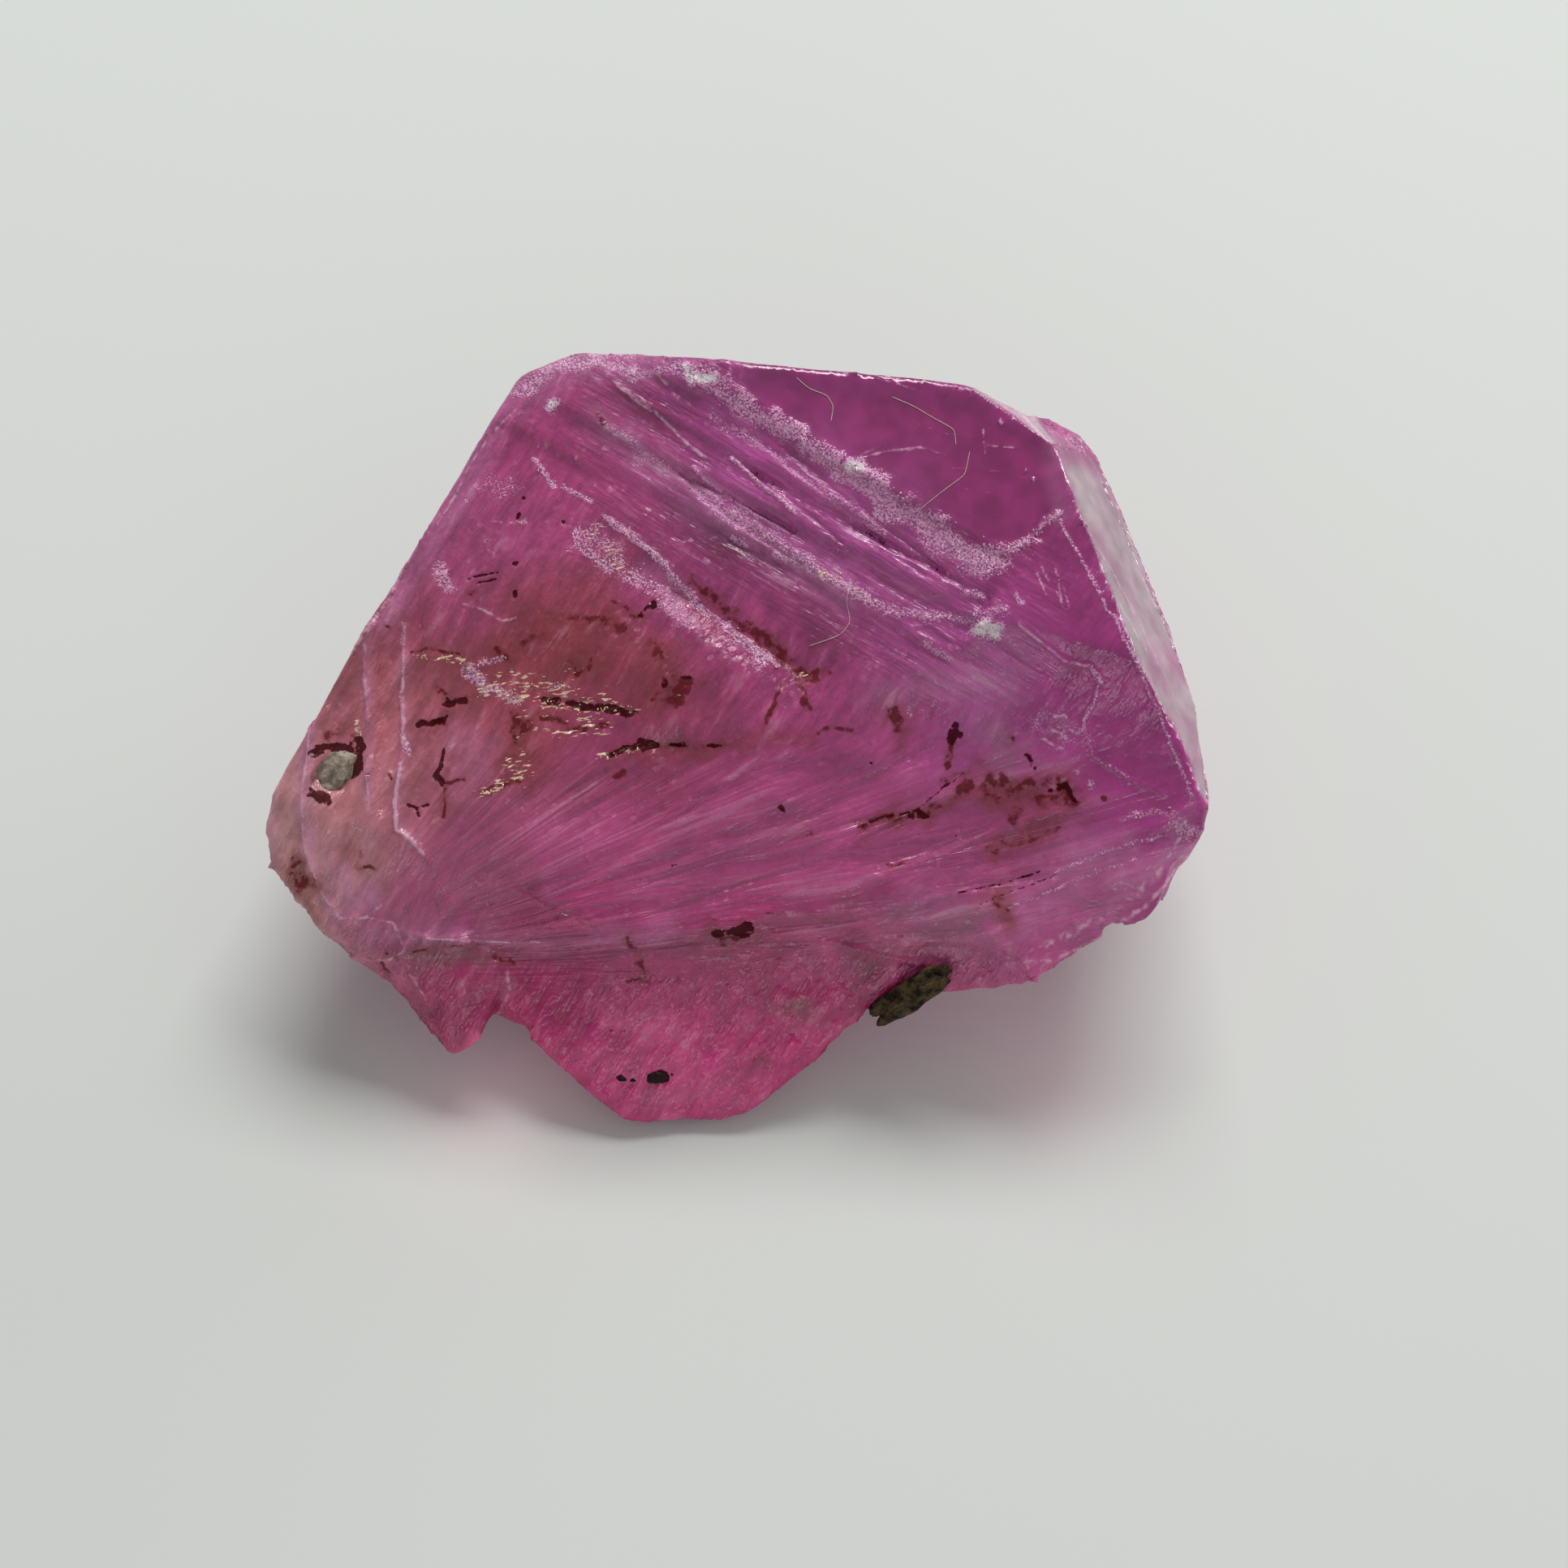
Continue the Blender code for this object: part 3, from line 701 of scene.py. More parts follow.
def line_distance(uv, line, reach):
    """For the points within reach of a line of pixels: which, how far off, and how far along."""
    line = np.array(line, float)
    low, high = line.min(axis=0) - reach, line.max(axis=0) + reach
    chosen = np.flatnonzero(np.all((uv > low) & (uv < high), axis=1))
    spots = uv[chosen]
    lengths = np.linalg.norm(np.diff(line, axis=0), axis=1)
    best = np.full(len(spots), 1e9)
    along = np.zeros(len(spots))
    done = 0.0
    for start, end, length in zip(line, line[1:], lengths):
        t = np.clip((spots - start) @ (end - start) / length**2, 0.0, 1.0)
        gap = np.linalg.norm(spots - start - t[:, None] * (end - start), axis=1)
        closer = gap < best
        best = np.where(closer, gap, best)
        along = np.where(closer, (done + t * length) / lengths.sum(), along)
        done += length
    return chosen, best, along, lengths.sum()


def gap_to(uv, line):
    """How far each point is from a line of pixels."""
    return line_distance(uv, line, ANYWHERE)[1]


camera = bpy.data.objects.new("camera", bpy.data.cameras.new("camera"))
bpy.context.scene.collection.objects.link(camera)
camera.data.sensor_width = SENSOR
camera.data.lens = FOCAL / IMAGE * SENSOR
camera.data.clip_start = 0.001
camera.data.clip_end = 2.0
camera.location = Vector(CAMERA) * MM
camera.rotation_euler = (math.pi / 2 - ELEVATION, 0.0, 0.0)
bpy.context.scene.camera = camera


# The skin.


def solid_in_mm(name):
    mesh = frame["nodes"][name].data.copy()
    mesh.transform(Matrix.Scale(1 / MM, 4))
    return mesh


def surface_tree(mesh):
    corners = [vert.co for vert in mesh.vertices]
    return BVHTree.FromPolygons(corners, [list(face.vertices) for face in mesh.polygons])


def remeshed(mesh, size):
    shape = bpy.data.objects.new("shape", mesh)
    bpy.context.scene.collection.objects.link(shape)
    remesh = shape.modifiers.new("remesh", "REMESH")
    remesh.mode = "VOXEL"
    remesh.voxel_size = size
    triangles = shape.modifiers.new("triangles", "TRIANGULATE")
    triangles.min_vertices = 4
    graph = bpy.context.evaluated_depsgraph_get()
    fine = bpy.data.meshes.new_from_object(shape.evaluated_get(graph))
    bpy.data.objects.remove(shape)
    points = np.zeros(len(fine.vertices) * 3)
    fine.vertices.foreach_get("co", points)
    faces = np.zeros(len(fine.polygons) * 3, dtype=np.int64)
    fine.polygons.foreach_get("vertices", faces)
    return points.reshape(-1, 3), faces.reshape(-1, 3)


def snapped(points, tree):
    return np.array([tree.find_nearest(point)[0] for point in points]).reshape(-1, 3)


def edges_of(faces):
    return np.concatenate([faces[:, [0, 1]], faces[:, [1, 2]], faces[:, [2, 0]]])


def refined(points, faces, limit_of, tree, rounds=5):
    """Splits each edge that is longer than its limit, until none is."""
    limit = limit_of(points)
    for _ in range(rounds):
        keys = np.sort(edges_of(faces), axis=1)
        edges, where = np.unique(keys[:, 0] * len(points) + keys[:, 1], return_inverse=True)
        a, b = edges // len(points), edges % len(points)
        bound = np.minimum(limit[a], limit[b])
        long = np.linalg.norm(points[a] - points[b], axis=1) > bound * 1.35
        if not long.any():
            break
        middle = np.full(len(edges), -1)
        middle[long] = len(points) + np.arange(long.sum())
        fresh = snapped((points[a[long]] + points[b[long]]) / 2, tree)
        points = np.concatenate([points, fresh])
        limit = np.concatenate([limit, limit_of(fresh)])
        m = middle[where.reshape(-1)].reshape(3, -1).T
        count = (m >= 0).sum(axis=1)
        out = [faces[count == 0]]
        for turn in range(3):
            f = np.roll(faces, -turn, axis=1)
            n = np.roll(m, -turn, axis=1)
            one = (count == 1) & (n[:, 0] >= 0)
            out.append(np.stack([f[one, 0], n[one, 0], f[one, 2]], axis=1))
            out.append(np.stack([n[one, 0], f[one, 1], f[one, 2]], axis=1))
            two = (count == 2) & (n[:, 0] >= 0) & (n[:, 1] >= 0)
            out.append(np.stack([n[two, 0], f[two, 1], n[two, 1]], axis=1))
            out.append(np.stack([f[two, 0], n[two, 0], n[two, 1]], axis=1))
            out.append(np.stack([f[two, 0], n[two, 1], f[two, 2]], axis=1))
        f, n = faces[count == 3], m[count == 3]
        out.append(np.stack([f[:, 0], n[:, 0], n[:, 2]], axis=1))
        out.append(np.stack([n[:, 0], f[:, 1], n[:, 1]], axis=1))
        out.append(np.stack([n[:, 2], n[:, 1], f[:, 2]], axis=1))
        out.append(n.copy())
        faces = np.concatenate(out)
    return points, faces


def normals_of(points, faces):
    a, b, c = points[faces[:, 0]], points[faces[:, 1]], points[faces[:, 2]]
    flat = np.cross(b - a, c - a)
    total = np.zeros_like(points)
    for k in range(3):
        np.add.at(total, faces[:, k], flat)
    return unit(total)


solid = solid_in_mm("sapphire")
tree = surface_tree(solid)


def limits(points):
    """The longest edge wanted at each point: shorter where a mark is narrow."""
    normals = np.array([tree.find_nearest(point)[1] for point in points]).reshape(-1, 3)
    facing = toward_camera(points, normals)
    limit = np.where(facing > 0.0, NEAR_EDGE, FAR_EDGE)
    uv = seen_at(points)
    for kind, rows in MARKS.items():
        for width, strength, line in rows:
            if kind in SOFT_KINDS or width * PIXEL > NEAR_EDGE * 2:
                continue
            chosen, gap, _, _ = line_distance(uv, line, width * 2 + 6)
            wanted = max(FINEST, 0.8 * width * PIXEL)
            close = chosen[(gap < width * 1.2 + 1.0) & (facing[chosen] > 0.0)]
            limit[close] = np.minimum(limit[close], wanted)
    return limit


points, faces = remeshed(solid, VOXEL)
points, faces = refined(snapped(points, tree), faces, limits, tree)


def softened(points, faces, share, times):
    """Rounds the skin off, as far as each point's share says."""
    sides = np.unique(np.sort(edges_of(faces), axis=1), axis=0)
    many = np.bincount(sides.ravel(), minlength=len(points))[:, None]
    for _ in range(times):
        total = np.zeros_like(points)
        for k in range(3):
            total[:, k] = np.bincount(sides[:, 0], points[sides[:, 1], k], len(points))
            total[:, k] += np.bincount(sides[:, 1], points[sides[:, 0], k], len(points))
        points = points + share[:, None] * 0.5 * (total / many - points)
    return points


uv = seen_at(points)
share = np.full(len(points), 0.02)
for reach, line in ROUNDED:
    share = np.maximum(share, smooth(reach * 1.3, reach * 0.7, gap_to(uv, line)))
points = softened(points, faces, share, 100)

uv = seen_at(points)
for reach, line, far_out, (right, down) in SWELLS:
    outward = right * RIGHTWARD - down * UPWARD
    step = far_out * smooth(reach * 1.4, reach * 0.3, gap_to(uv, line))
    points = points + step[:, None] * outward
normals = normals_of(points, faces)
facing = toward_camera(points, normals)
uv = seen_at(points)
near = smooth(0.02, 0.16, facing)
drift = np.stack([fractal(points, 0.22, 3, 3), fractal(points, 0.22, 5, 3)], axis=1)


def marks_of(kind):
    """How strong the marks of one kind are at each point of the skin."""
    field = np.zeros(len(points))
    power = 4 if kind in CRISP_KINDS else 2
    for width, strength, line in MARKS[kind]:
        moved = uv + drift * width * RAGGED[kind]
        chosen, gap, along, length = line_distance(moved, line, width * 3)
        band = strength * np.exp(-((gap / width) ** power))
        if kind in TAPERED_KINDS:
            runout = min(0.25, width / length)
            band *= smooth(0.0, runout, along) * smooth(1.0, 1.0 - runout, along)
        field[chosen] = np.maximum(field[chosen], band)
    return field * near


fields = {kind: marks_of(kind) for kind in MARKS}

# The far side, where the photograph doesn't look, is worn and stained in the same ways.
far = 1.0 - near
for kind, strength, (low, high), (size, seed, octaves) in HIDDEN_MARKS:
    patches = smooth(low, high, fractal(points, size, seed, octaves))
    fields[kind] = np.maximum(fields[kind], far * strength * patches)

# Growth striations across the c axis.
across = (points @ C_AXIS)[:, None] * np.array([1.0, 0.0, 0.0])
prism = smooth(0.75, 0.35, np.abs(normals @ C_AXIS))
bands = lattice(across + 0.02 * fractal(points, 2.0, 31)[:, None], 0.16, 41)
bands += 0.5 * lattice(across, 0.07, 43)
striae = bands * prism * far * smooth(-0.4, 0.3, fractal(points, 2.5, 33))

# The fan of fine, slightly curved lines that crosses the broken front.
fan_side = uv[:, 0] - FAN[0]
fan_angle = np.arctan2(FAN[1] - uv[:, 1] - FAN_BEND * fan_side**2, fan_side)
fan_reach = np.linalg.norm(uv - FAN, axis=1)
front = smooth(170.0, 90.0, gap_to(uv, FRONT_LINE)) * smooth(90.0, 330.0, fan_reach) * near
fan_place = np.stack([fan_angle * 24.0, fan_reach / 200.0, np.zeros(len(uv))], axis=1)
fan = fractal(fan_place, 2.0, 51, 2) * front
terraced = smooth(150.0, 90.0, gap_to(uv, STEP_LINE)) * near

# The polished faces: the glassy end of the stone, less so the face below it, and the side facet.
leaning = normals @ SIDE_FACET
facet = smooth(0.93, 0.985, leaning) * near
polish = np.zeros(len(points))
for share, line in POLISHED:
    polish = np.maximum(polish, share * smooth(95.0, 60.0, gap_to(uv, line)) * near)
polish = np.maximum(polish, facet) * (1 - np.clip(fields["frost_and_highlight"], 0, 1))
flat = np.maximum(facet, smooth(110.0, 70.0, gap_to(uv, POLISHED[0][1])))

# A pale painted sheen on the side facet: its reflection painted into the colour.
rim_noise = fractal(points @ np.diag([0.5, 1.0, 1.0]), 0.5, 89, 4, 0.6)
painted_sheen = smooth(0.90, 0.985, leaning + 0.025 * rim_noise) * near
painted_sheen *= smooth(64.0, 34.0, gap_to(uv, FACET_LINE)) * np.clip(0.80 + 0.45 * rim_noise, 0.25, 0.98)

# The relief, in mm: marks first, then the breaks' own unevenness.
grain = fractal(points, 0.07, 61, 2)
creases = 1.0 - 2.0 * np.abs(lattice(points, 1.15, 91)) - np.abs(lattice(points, 0.5, 92))
height = fields["ridge"] - fields["furrow"] + SCRATCH_RISE * fields["scratch_and_highlight"]
height += grain * (FROST_GRAIN * fields["frost_and_highlight"] + GOLD_GRAIN * fields["gold"])
height -= SOOT_DEPTH * fields["soot"] + RUST_DEPTH * fields["rust"] * (1 + grain)
height += LINE_RISE * (striae + fan)
height += WAVE_RISE * fractal(points, 1.7, 21, 3) + RIPPLE_RISE * fractal(points, 0.25, 22, 2)
height += CREASE_RISE * creases * (1.0 - terraced) * (1.0 - flat)
points = points + normals * height[:, None]


def body_colour():
    """The crystal's colour at each point of the skin, with the painted shade and painted glow of
    its zones.
    """
    total = np.zeros((len(points), 3))
    weights = np.zeros(len(points))
    drift = [fractal(points, 0.8, 3, 2), fractal(points, 0.8, 5, 2)]
    place = uv + ZONE_DRIFT * np.stack(drift, axis=1)
    for name, spots in ZONES.items():
        for spot in spots:
            gap = np.linalg.norm(place - spot, axis=1)
            weight = np.exp(-gap / ZONE_REACH)
            weights += weight
            total += weight[:, None] * BODY[name]
    seen = total / weights[:, None]
    other = smooth(-0.4, 0.5, fractal(points, 2.2, 87, 3))[:, None]
    hidden = np.array(BODY[HIDDEN_BODY]) * (1 - other) + np.array(BODY["violet"]) * other
    share = smooth(-0.25, 0.2, facing)[:, None]
    return hidden * (1 - share) + seen * share


def mixed(colours, other, share):
    share = np.clip(share, 0.0, 1.0)[:, None]
    return colours * (1 - share) + np.array(other) * share


tone = body_colour()
tone *= (1.0 + 0.16 * fractal(points, 0.9, 71, 3) + 0.10 * fan)[:, None]
for kind, (colour, strength) in TINTS.items():
    tone = mixed(tone, colour, fields[kind] * strength)
# Pale marks, and the painted reflection on the side facet.
tone = mixed(tone, PALE_TINT, np.maximum(fields["pale"] * 0.8, painted_sheen * 0.85))


def new_mesh(name, points, faces, material):
    mesh = bpy.data.meshes.new(name)
    mesh.vertices.add(len(points))
    mesh.vertices.foreach_set("co", (points * MM).ravel())
    mesh.loops.add(len(faces) * 3)
    mesh.loops.foreach_set("vertex_index", np.asarray(faces).ravel())
    mesh.polygons.add(len(faces))
    mesh.polygons.foreach_set("loop_start", np.arange(0, len(faces) * 3, 3))
    mesh.update(calc_edges=True)
    mesh.validate()
    mesh.materials.append(material)
    return mesh


def new_piece(name, mesh):
    shape = bpy.data.objects.new(name, mesh)
    bpy.context.scene.collection.objects.link(shape)
    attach(shape, "root")
    return shape


# Materials.


class Nodes:
    """One material, with short calls for building its node tree."""

    def __init__(self, name):
        self.material = bpy.data.materials.new(name)
        self.material.use_nodes = True
        self.nodes = self.material.node_tree.nodes
        self.links = self.material.node_tree.links
        self.shader = self.nodes["Principled BSDF"]
        self.output = self.nodes["Material Output"]

    def new(self, kind, **settings):
        node = self.nodes.new(kind)
        for key, value in settings.items():
            setattr(node, key, value)
        return node

    def put(self, socket, value):
        if isinstance(value, bpy.types.NodeSocket):
            self.links.new(value, socket)
        else:
            socket.default_value = value

    def field(self, name):
        return self.new("ShaderNodeAttribute", attribute_name=name).outputs["Fac"]

    def colour(self, name):
        return self.new("ShaderNodeAttribute", attribute_name=name).outputs["Color"]

    def place(self):
        """Object coordinates in mm."""
        mapping = self.new("ShaderNodeMapping")
        self.links.new(self.new("ShaderNodeTexCoord").outputs["Object"], mapping.inputs["Vector"])
        mapping.inputs["Scale"].default_value = (1 / MM, 1 / MM, 1 / MM)
        return mapping.outputs[0]

    def fibres(self, angle, along, across):
        """Coordinates that change slowly along a line across the stone, and fast round it."""
        c, s = math.cos(math.radians(angle)), math.sin(math.radians(angle))
        spot = self.new("ShaderNodeTexCoord").outputs["Object"]
        joint = self.new("ShaderNodeCombineXYZ")
        ahead, aside = c * RIGHTWARD + s * UPWARD, c * UPWARD - s * RIGHTWARD
        for socket, row in zip(joint.inputs, (ahead * along, aside * across, FORWARD * across)):
            dot = self.new("ShaderNodeVectorMath", operation="DOT_PRODUCT")
            self.links.new(spot, dot.inputs[0])
            dot.inputs[1].default_value = row / MM
            self.links.new(dot.outputs["Value"], socket)
        return joint.outputs[0]

    def noise(self, scale, detail=2.0, rough=0.5, place=None, warp=0.0):
        node = self.new("ShaderNodeTexNoise")
        self.links.new(place or self.place(), node.inputs["Vector"])
        node.inputs["Scale"].default_value = scale
        node.inputs["Detail"].default_value = detail
        node.inputs["Roughness"].default_value = rough
        node.inputs["Distortion"].default_value = warp
        return node.outputs["Fac"]

    def math(self, operation, a, b):
        node = self.new("ShaderNodeMath", operation=operation)
        self.put(node.inputs[0], a)
        self.put(node.inputs[1], b)
        return node.outputs[0]

    def times(self, a, b):
        return self.math("MULTIPLY", a, b)

    def plus(self, a, b):
        return self.math("ADD", a, b)

    def vector_math(self, operation, a, b):
        node = self.new("ShaderNodeVectorMath", operation=operation)
        self.put(node.inputs[0], a)
        self.put(node.inputs["Scale" if operation == "SCALE" else 1], b)
        return node.outputs[0]

    def ramp(self, value, low, high, to_low=0.0, to_high=1.0):
        """A smooth step from one value to another, as the input goes from low to high."""
        node = self.new("ShaderNodeMapRange", interpolation_type="SMOOTHSTEP")
        self.put(node.inputs["Value"], value)
        node.inputs["From Min"].default_value = low
        node.inputs["From Max"].default_value = high
        node.inputs["To Min"].default_value = to_low
        node.inputs["To Max"].default_value = to_high
        return node.outputs[0]

    def mix(self, share, a, b):
        node = self.new("ShaderNodeMix", data_type="RGBA")
        self.put(node.inputs["Factor"], share)
        self.put(node.inputs["A"], a)
        self.put(node.inputs["B"], b)
        return node.outputs["Result"]

    def blend(self, share, a, b):
        node = self.new("ShaderNodeMix", data_type="FLOAT")
        self.put(node.inputs[0], share)
        self.put(node.inputs[2], a)
        self.put(node.inputs[3], b)
        return node.outputs[0]

    def bump(self, height, distance, strength=1.0):
        """The normal of a surface with bumps, up to a distance in mm."""
        node = self.new("ShaderNodeBump")
        node.inputs["Strength"].default_value = strength
        node.inputs["Distance"].default_value = distance * MM
        self.put(node.inputs["Height"], height)
        return node.outputs[0]


class Crystal(Nodes):
    """The crystal's own material, dressed by the fields that its mesh carries."""

    def __init__(self):
        super().__init__("corundum_skin")
        self.cloud = self.noise(3.2, 1.0, 0.55)
        self.mottle = self.noise(9.0, 2.0, 0.6)
        self.fine = self.noise(34.0, 1.0, 0.6)
        self.polish = self.field("polish")
        self.streaks = self.all_streaks()
        self.cells = self.new("ShaderNodeTexVoronoi")
        self.links.new(self.place(), self.cells.inputs["Vector"])
        self.cells.inputs["Scale"].default_value = CELLS
        self.chance = self.new("ShaderNodeSeparateColor")
        self.links.new(self.cells.outputs["Color"], self.chance.inputs[0])

        veined = self.plus(self.times(self.mottle, 0.5), self.times(self.streaks, 0.5))
        wisps = self.noise(1.0, 1.0, 0.6, self.fibres(WISP_ANGLE, 7.0, 28.0))
        self.frosted_and_highlit = self.times(self.broken("frost_and_highlight", self.fine, 5.0, 0.20, 0.95), 0.9)
        self.rusted = self.times(self.broken("rust", veined, 8.0, 0.30, 0.90), 0.88)
        self.sooted = self.times(self.broken("soot", self.mottle, 4.0, 0.26, 0.60), 0.95)
        self.gilded = self.broken("gold", wisps, 8.0, 0.95, 1.30)
        self.scratched_and_highlit = self.times(self.broken("scratch_and_highlight", self.mottle, 4.0, 0.20, 0.95), 0.75)
        threads = self.ramp(self.streaks, 0.56, 0.72)
        threads = self.times(threads, self.blend(self.polish, 0.34, 0.04))
        self.threads = self.times(threads, self.plus(self.times(self.field("haze"), 1.6), 0.9))

    def all_streaks(self):
        """Streaks along the breaks, along the steps of the end face, and in the front's fan."""
        along_breaks = self.noise(1.0, 3.0, 0.65, self.fibres(BREAK_ANGLE, 1.2, 5.0))
        along_steps = self.noise(1.0, 3.0, 0.65, self.fibres(STEP_ANGLE, 0.7, 7.0))
        flow = self.new("ShaderNodeAttribute", attribute_name="flow").outputs["Vector"]
        fanned = self.noise(1.0, 3.0, 0.60, flow, 1.0)
        streaks = self.blend(self.field("terraced"), along_breaks, along_steps)
        return self.blend(self.field("front"), streaks, fanned)

    def broken(self, kind, noise, share, low, high):
        """A mark's field, broken up by noise into crisp patches."""
        wave = self.plus(self.times(self.math("SUBTRACT", noise, 0.5), share), 1.0)
        return self.ramp(self.times(self.field(kind), wave), low, high)

    def paint(self):
        """The colour: the body's tone in streaks, and the marks' coats over it."""
        shade = self.ramp(self.cloud, 0.3, 0.7, 0.86, 1.12)
        streaked = self.blend(self.polish, self.ramp(self.streaks, 0.3, 0.7, 0.76, 1.20), 1.0)
        colour = self.vector_math("SCALE", self.colour("tone"), self.times(shade, streaked))
        coats = (
            (self.threads, (0.82, 0.44, 0.62, 1.0)),
            (self.rusted, (0.130, 0.006, 0.010, 1.0)),
            # Frost, near white where strongest; along the ridges it paints white highlights.
            (self.frosted_and_highlit, (0.98, 0.50, 0.80, 1.0)),
            (self.ramp(self.field("frost_and_highlight"), 0.95, 1.25), (0.97, 0.86, 0.90, 1.0)),
            (self.gilded, (0.98, 0.72, 0.50, 1.0)),
            # Pale scratches, and painted highlights along the lip and the ledges.
            (self.scratched_and_highlit, (0.88, 0.50, 0.68, 1.0)),
            (self.sooted, (0.045, 0.001, 0.003, 1.0)),
        )
        for mask, coat in coats:
            colour = self.mix(mask, colour, coat)
        self.put(self.shader.inputs["Base Color"], colour)
        dark = self.math("MAXIMUM", self.sooted, self.times(self.rusted, 0.8))
        glint = self.mix(dark, (1, 1, 1, 1), (0.25, 0.06, 0.07, 1))
        self.put(self.shader.inputs["Specular Tint"], glint)

    def roughen(self):
        """How rough it is, from one tiny facet to the next and under the marks."""
        any_cell = self.chance.outputs[0]
        rough = self.blend(self.polish, self.ramp(any_cell, 0.0, 1.0, 0.20, 0.46), 0.09)
        rough = self.blend(self.frosted_and_highlit, rough, self.ramp(any_cell, 0.2, 0.8, 0.12, 0.50))
        for mask, much in ((self.gilded, 0.15), (self.rusted, 0.55), (self.sooted, 0.65)):
            rough = self.blend(mask, rough, much)
        self.put(self.shader.inputs["Roughness"], rough)

    def clear(self):
        """How much light goes in, and what the crystal takes from it on its way."""
        clear = self.blend(self.polish, self.ramp(self.cloud, 0.3, 0.7, 0.22, 0.36), 0.50)
        for mask, left in (
            (self.frosted_and_highlit, 0.12), (self.rusted, 0.10), (self.gilded, 0.0),
            (self.scratched_and_highlit, 0.1), (self.sooted, 0.0),
        ):
            clear = self.blend(mask, clear, left)
        self.put(self.shader.inputs["Transmission Weight"], clear)
        self.shader.inputs["IOR"].default_value = 1.77
        self.shader.inputs["Specular IOR Level"].default_value = 0.35
        volume = self.new("ShaderNodeVolumeAbsorption")
        volume.inputs["Color"].default_value = (0.80, 0.14, 0.44, 1.0)
        volume.inputs["Density"].default_value = 550.0
        self.links.new(volume.outputs[0], self.output.inputs["Volume"])

    def roll(self):
        """Fine bumps, and tiny facets that each lean their own way and glint."""
        grains = self.times(self.fine, self.plus(self.times(self.frosted_and_highlit, 0.5), 0.05))
        waves = self.plus(self.times(self.mottle, 0.45), self.times(self.streaks, 3.0))
        calm = self.blend(self.polish, self.blend(self.field("terraced"), 1.0, 0.55), 0.06)
        surface = self.bump(self.plus(grains, self.times(waves, calm)), 0.022)

        keen = self.ramp(self.chance.outputs[1], 0.74, 0.80, 0.5, 1.2)
        glitter = self.times(self.math("MAXIMUM", self.frosted_and_highlit, self.gilded), keen)
        glitter = self.plus(glitter, self.ramp(self.chance.outputs[1], 0.90, 0.94, 0.03, 0.30))
        glitter = self.times(glitter, self.blend(self.polish, 1.0, 0.05))
        lean = self.vector_math("SUBTRACT", self.cells.outputs["Color"], (0.5, 0.5, 0.5))
        lean = self.vector_math("SCALE", lean, self.plus(glitter, self.times(self.threads, 0.5)))
        facets = self.new("ShaderNodeVectorMath", operation="NORMALIZE")
        self.links.new(self.vector_math("ADD", surface, lean), facets.inputs[0])
        self.put(self.shader.inputs["Normal"], facets.outputs[0])


def corundum():
    crystal = Crystal()
    crystal.paint()
    crystal.roughen()
    crystal.clear()
    crystal.roll()
    return crystal.material


def carry(mesh, name, kind, key, values):
    """Gives a mesh a field of values, one for each of its points."""
    layer = mesh.attributes.new(name, kind, "POINT")
    layer.data.foreach_set(key, values.astype(np.float32).ravel())


mesh = new_mesh("sapphire_skin", points, faces, corundum())
tone = np.concatenate([np.clip(tone, 0.0, 1.0), np.ones((len(tone), 1))], axis=1)
carry(mesh, "tone", "FLOAT_COLOR", "color", tone)
carry(mesh, "flow", "FLOAT_VECTOR", "vector", fan_place)
masks = {kind: fields[kind] for kind in ("haze", "frost_and_highlight", "rust", "soot", "gold", "scratch_and_highlight")}
masks.update(polish=polish, front=front, terraced=terraced)
for kind, values in masks.items():
    carry(mesh, kind, "FLOAT", "value", values)
mesh.shade_smooth()
skin = new_piece("sapphire_skin", mesh)
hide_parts("sapphire")


# Grains of other minerals, flakes and fibres.


final = surface_tree(mesh)


def on_skin(u, v):
    """The point of the skin, in mm, that the photograph shows at a pixel, and its normal."""
    start = Vector(CAMERA) * MM
    place, normal, _, _ = final.ray_cast(start, sight(u, v))
    if place is None:
        return None, None
    return np.array(place) / MM, np.array(normal)


def joined(shapes):
    """Many small shapes as one set of points and triangles."""
    points, faces, count = [], [], 0
    for p, f in shapes:
        points.append(p)
        faces.append(np.asarray(f) + count)
        count += len(p)
    return np.concatenate(points), np.concatenate(faces)


def ball(level):
    """A ball of even triangles."""
    bm = bmesh.new()
    bmesh.ops.create_icosphere(bm, subdivisions=level, radius=1.0)
    points = np.array([vert.co for vert in bm.verts])
    faces = np.array([[vert.index for vert in face.verts] for face in bm.faces])
    bm.free()
    return points, faces


def grain_lump(centre, axes, seed, lumpiness=0.22, level=5, square=0.75):
    """A blocky, pitted grain round a centre, with its three half axes as rows."""
    points, faces = ball(level)
    points = np.sign(points) * np.abs(points) ** square
    size = 1 + lumpiness * fractal(points, 0.9, seed, 4, 0.55)
    return np.array(centre) + (points * size[:, None]) @ np.array(axes), faces


def plate(rng, centre, normal, radius, thick, tilt):
    """A small flat crystal with 5 or 6 uneven corners, lying nearly flat on the skin."""
    corners = rng.integers(5, 7)
    lean = unit(normal + tilt * rng.normal(size=3))
    side = unit(np.cross(lean, rng.normal(size=3)))
    other = np.cross(lean, side)
    turns = (np.arange(corners) + rng.uniform(-0.3, 0.3, corners)) * 2 * math.pi / corners
    reach = radius * rng.uniform(0.7, 1.2, corners)
    rim = np.cos(turns)[:, None] * side + np.sin(turns)[:, None] * other
    rim = centre + rim * reach[:, None]
    points = np.concatenate([rim + lean * thick, rim - lean * thick])
    faces = [(0, k, k + 1) for k in range(1, corners - 1)]
    faces += [(corners, corners + k + 1, corners + k) for k in range(1, corners - 1)]
    for k in range(corners):
        after = (k + 1) % corners
        faces += [(k, corners + k, corners + after), (k, corners + after, after)]
    return points, faces


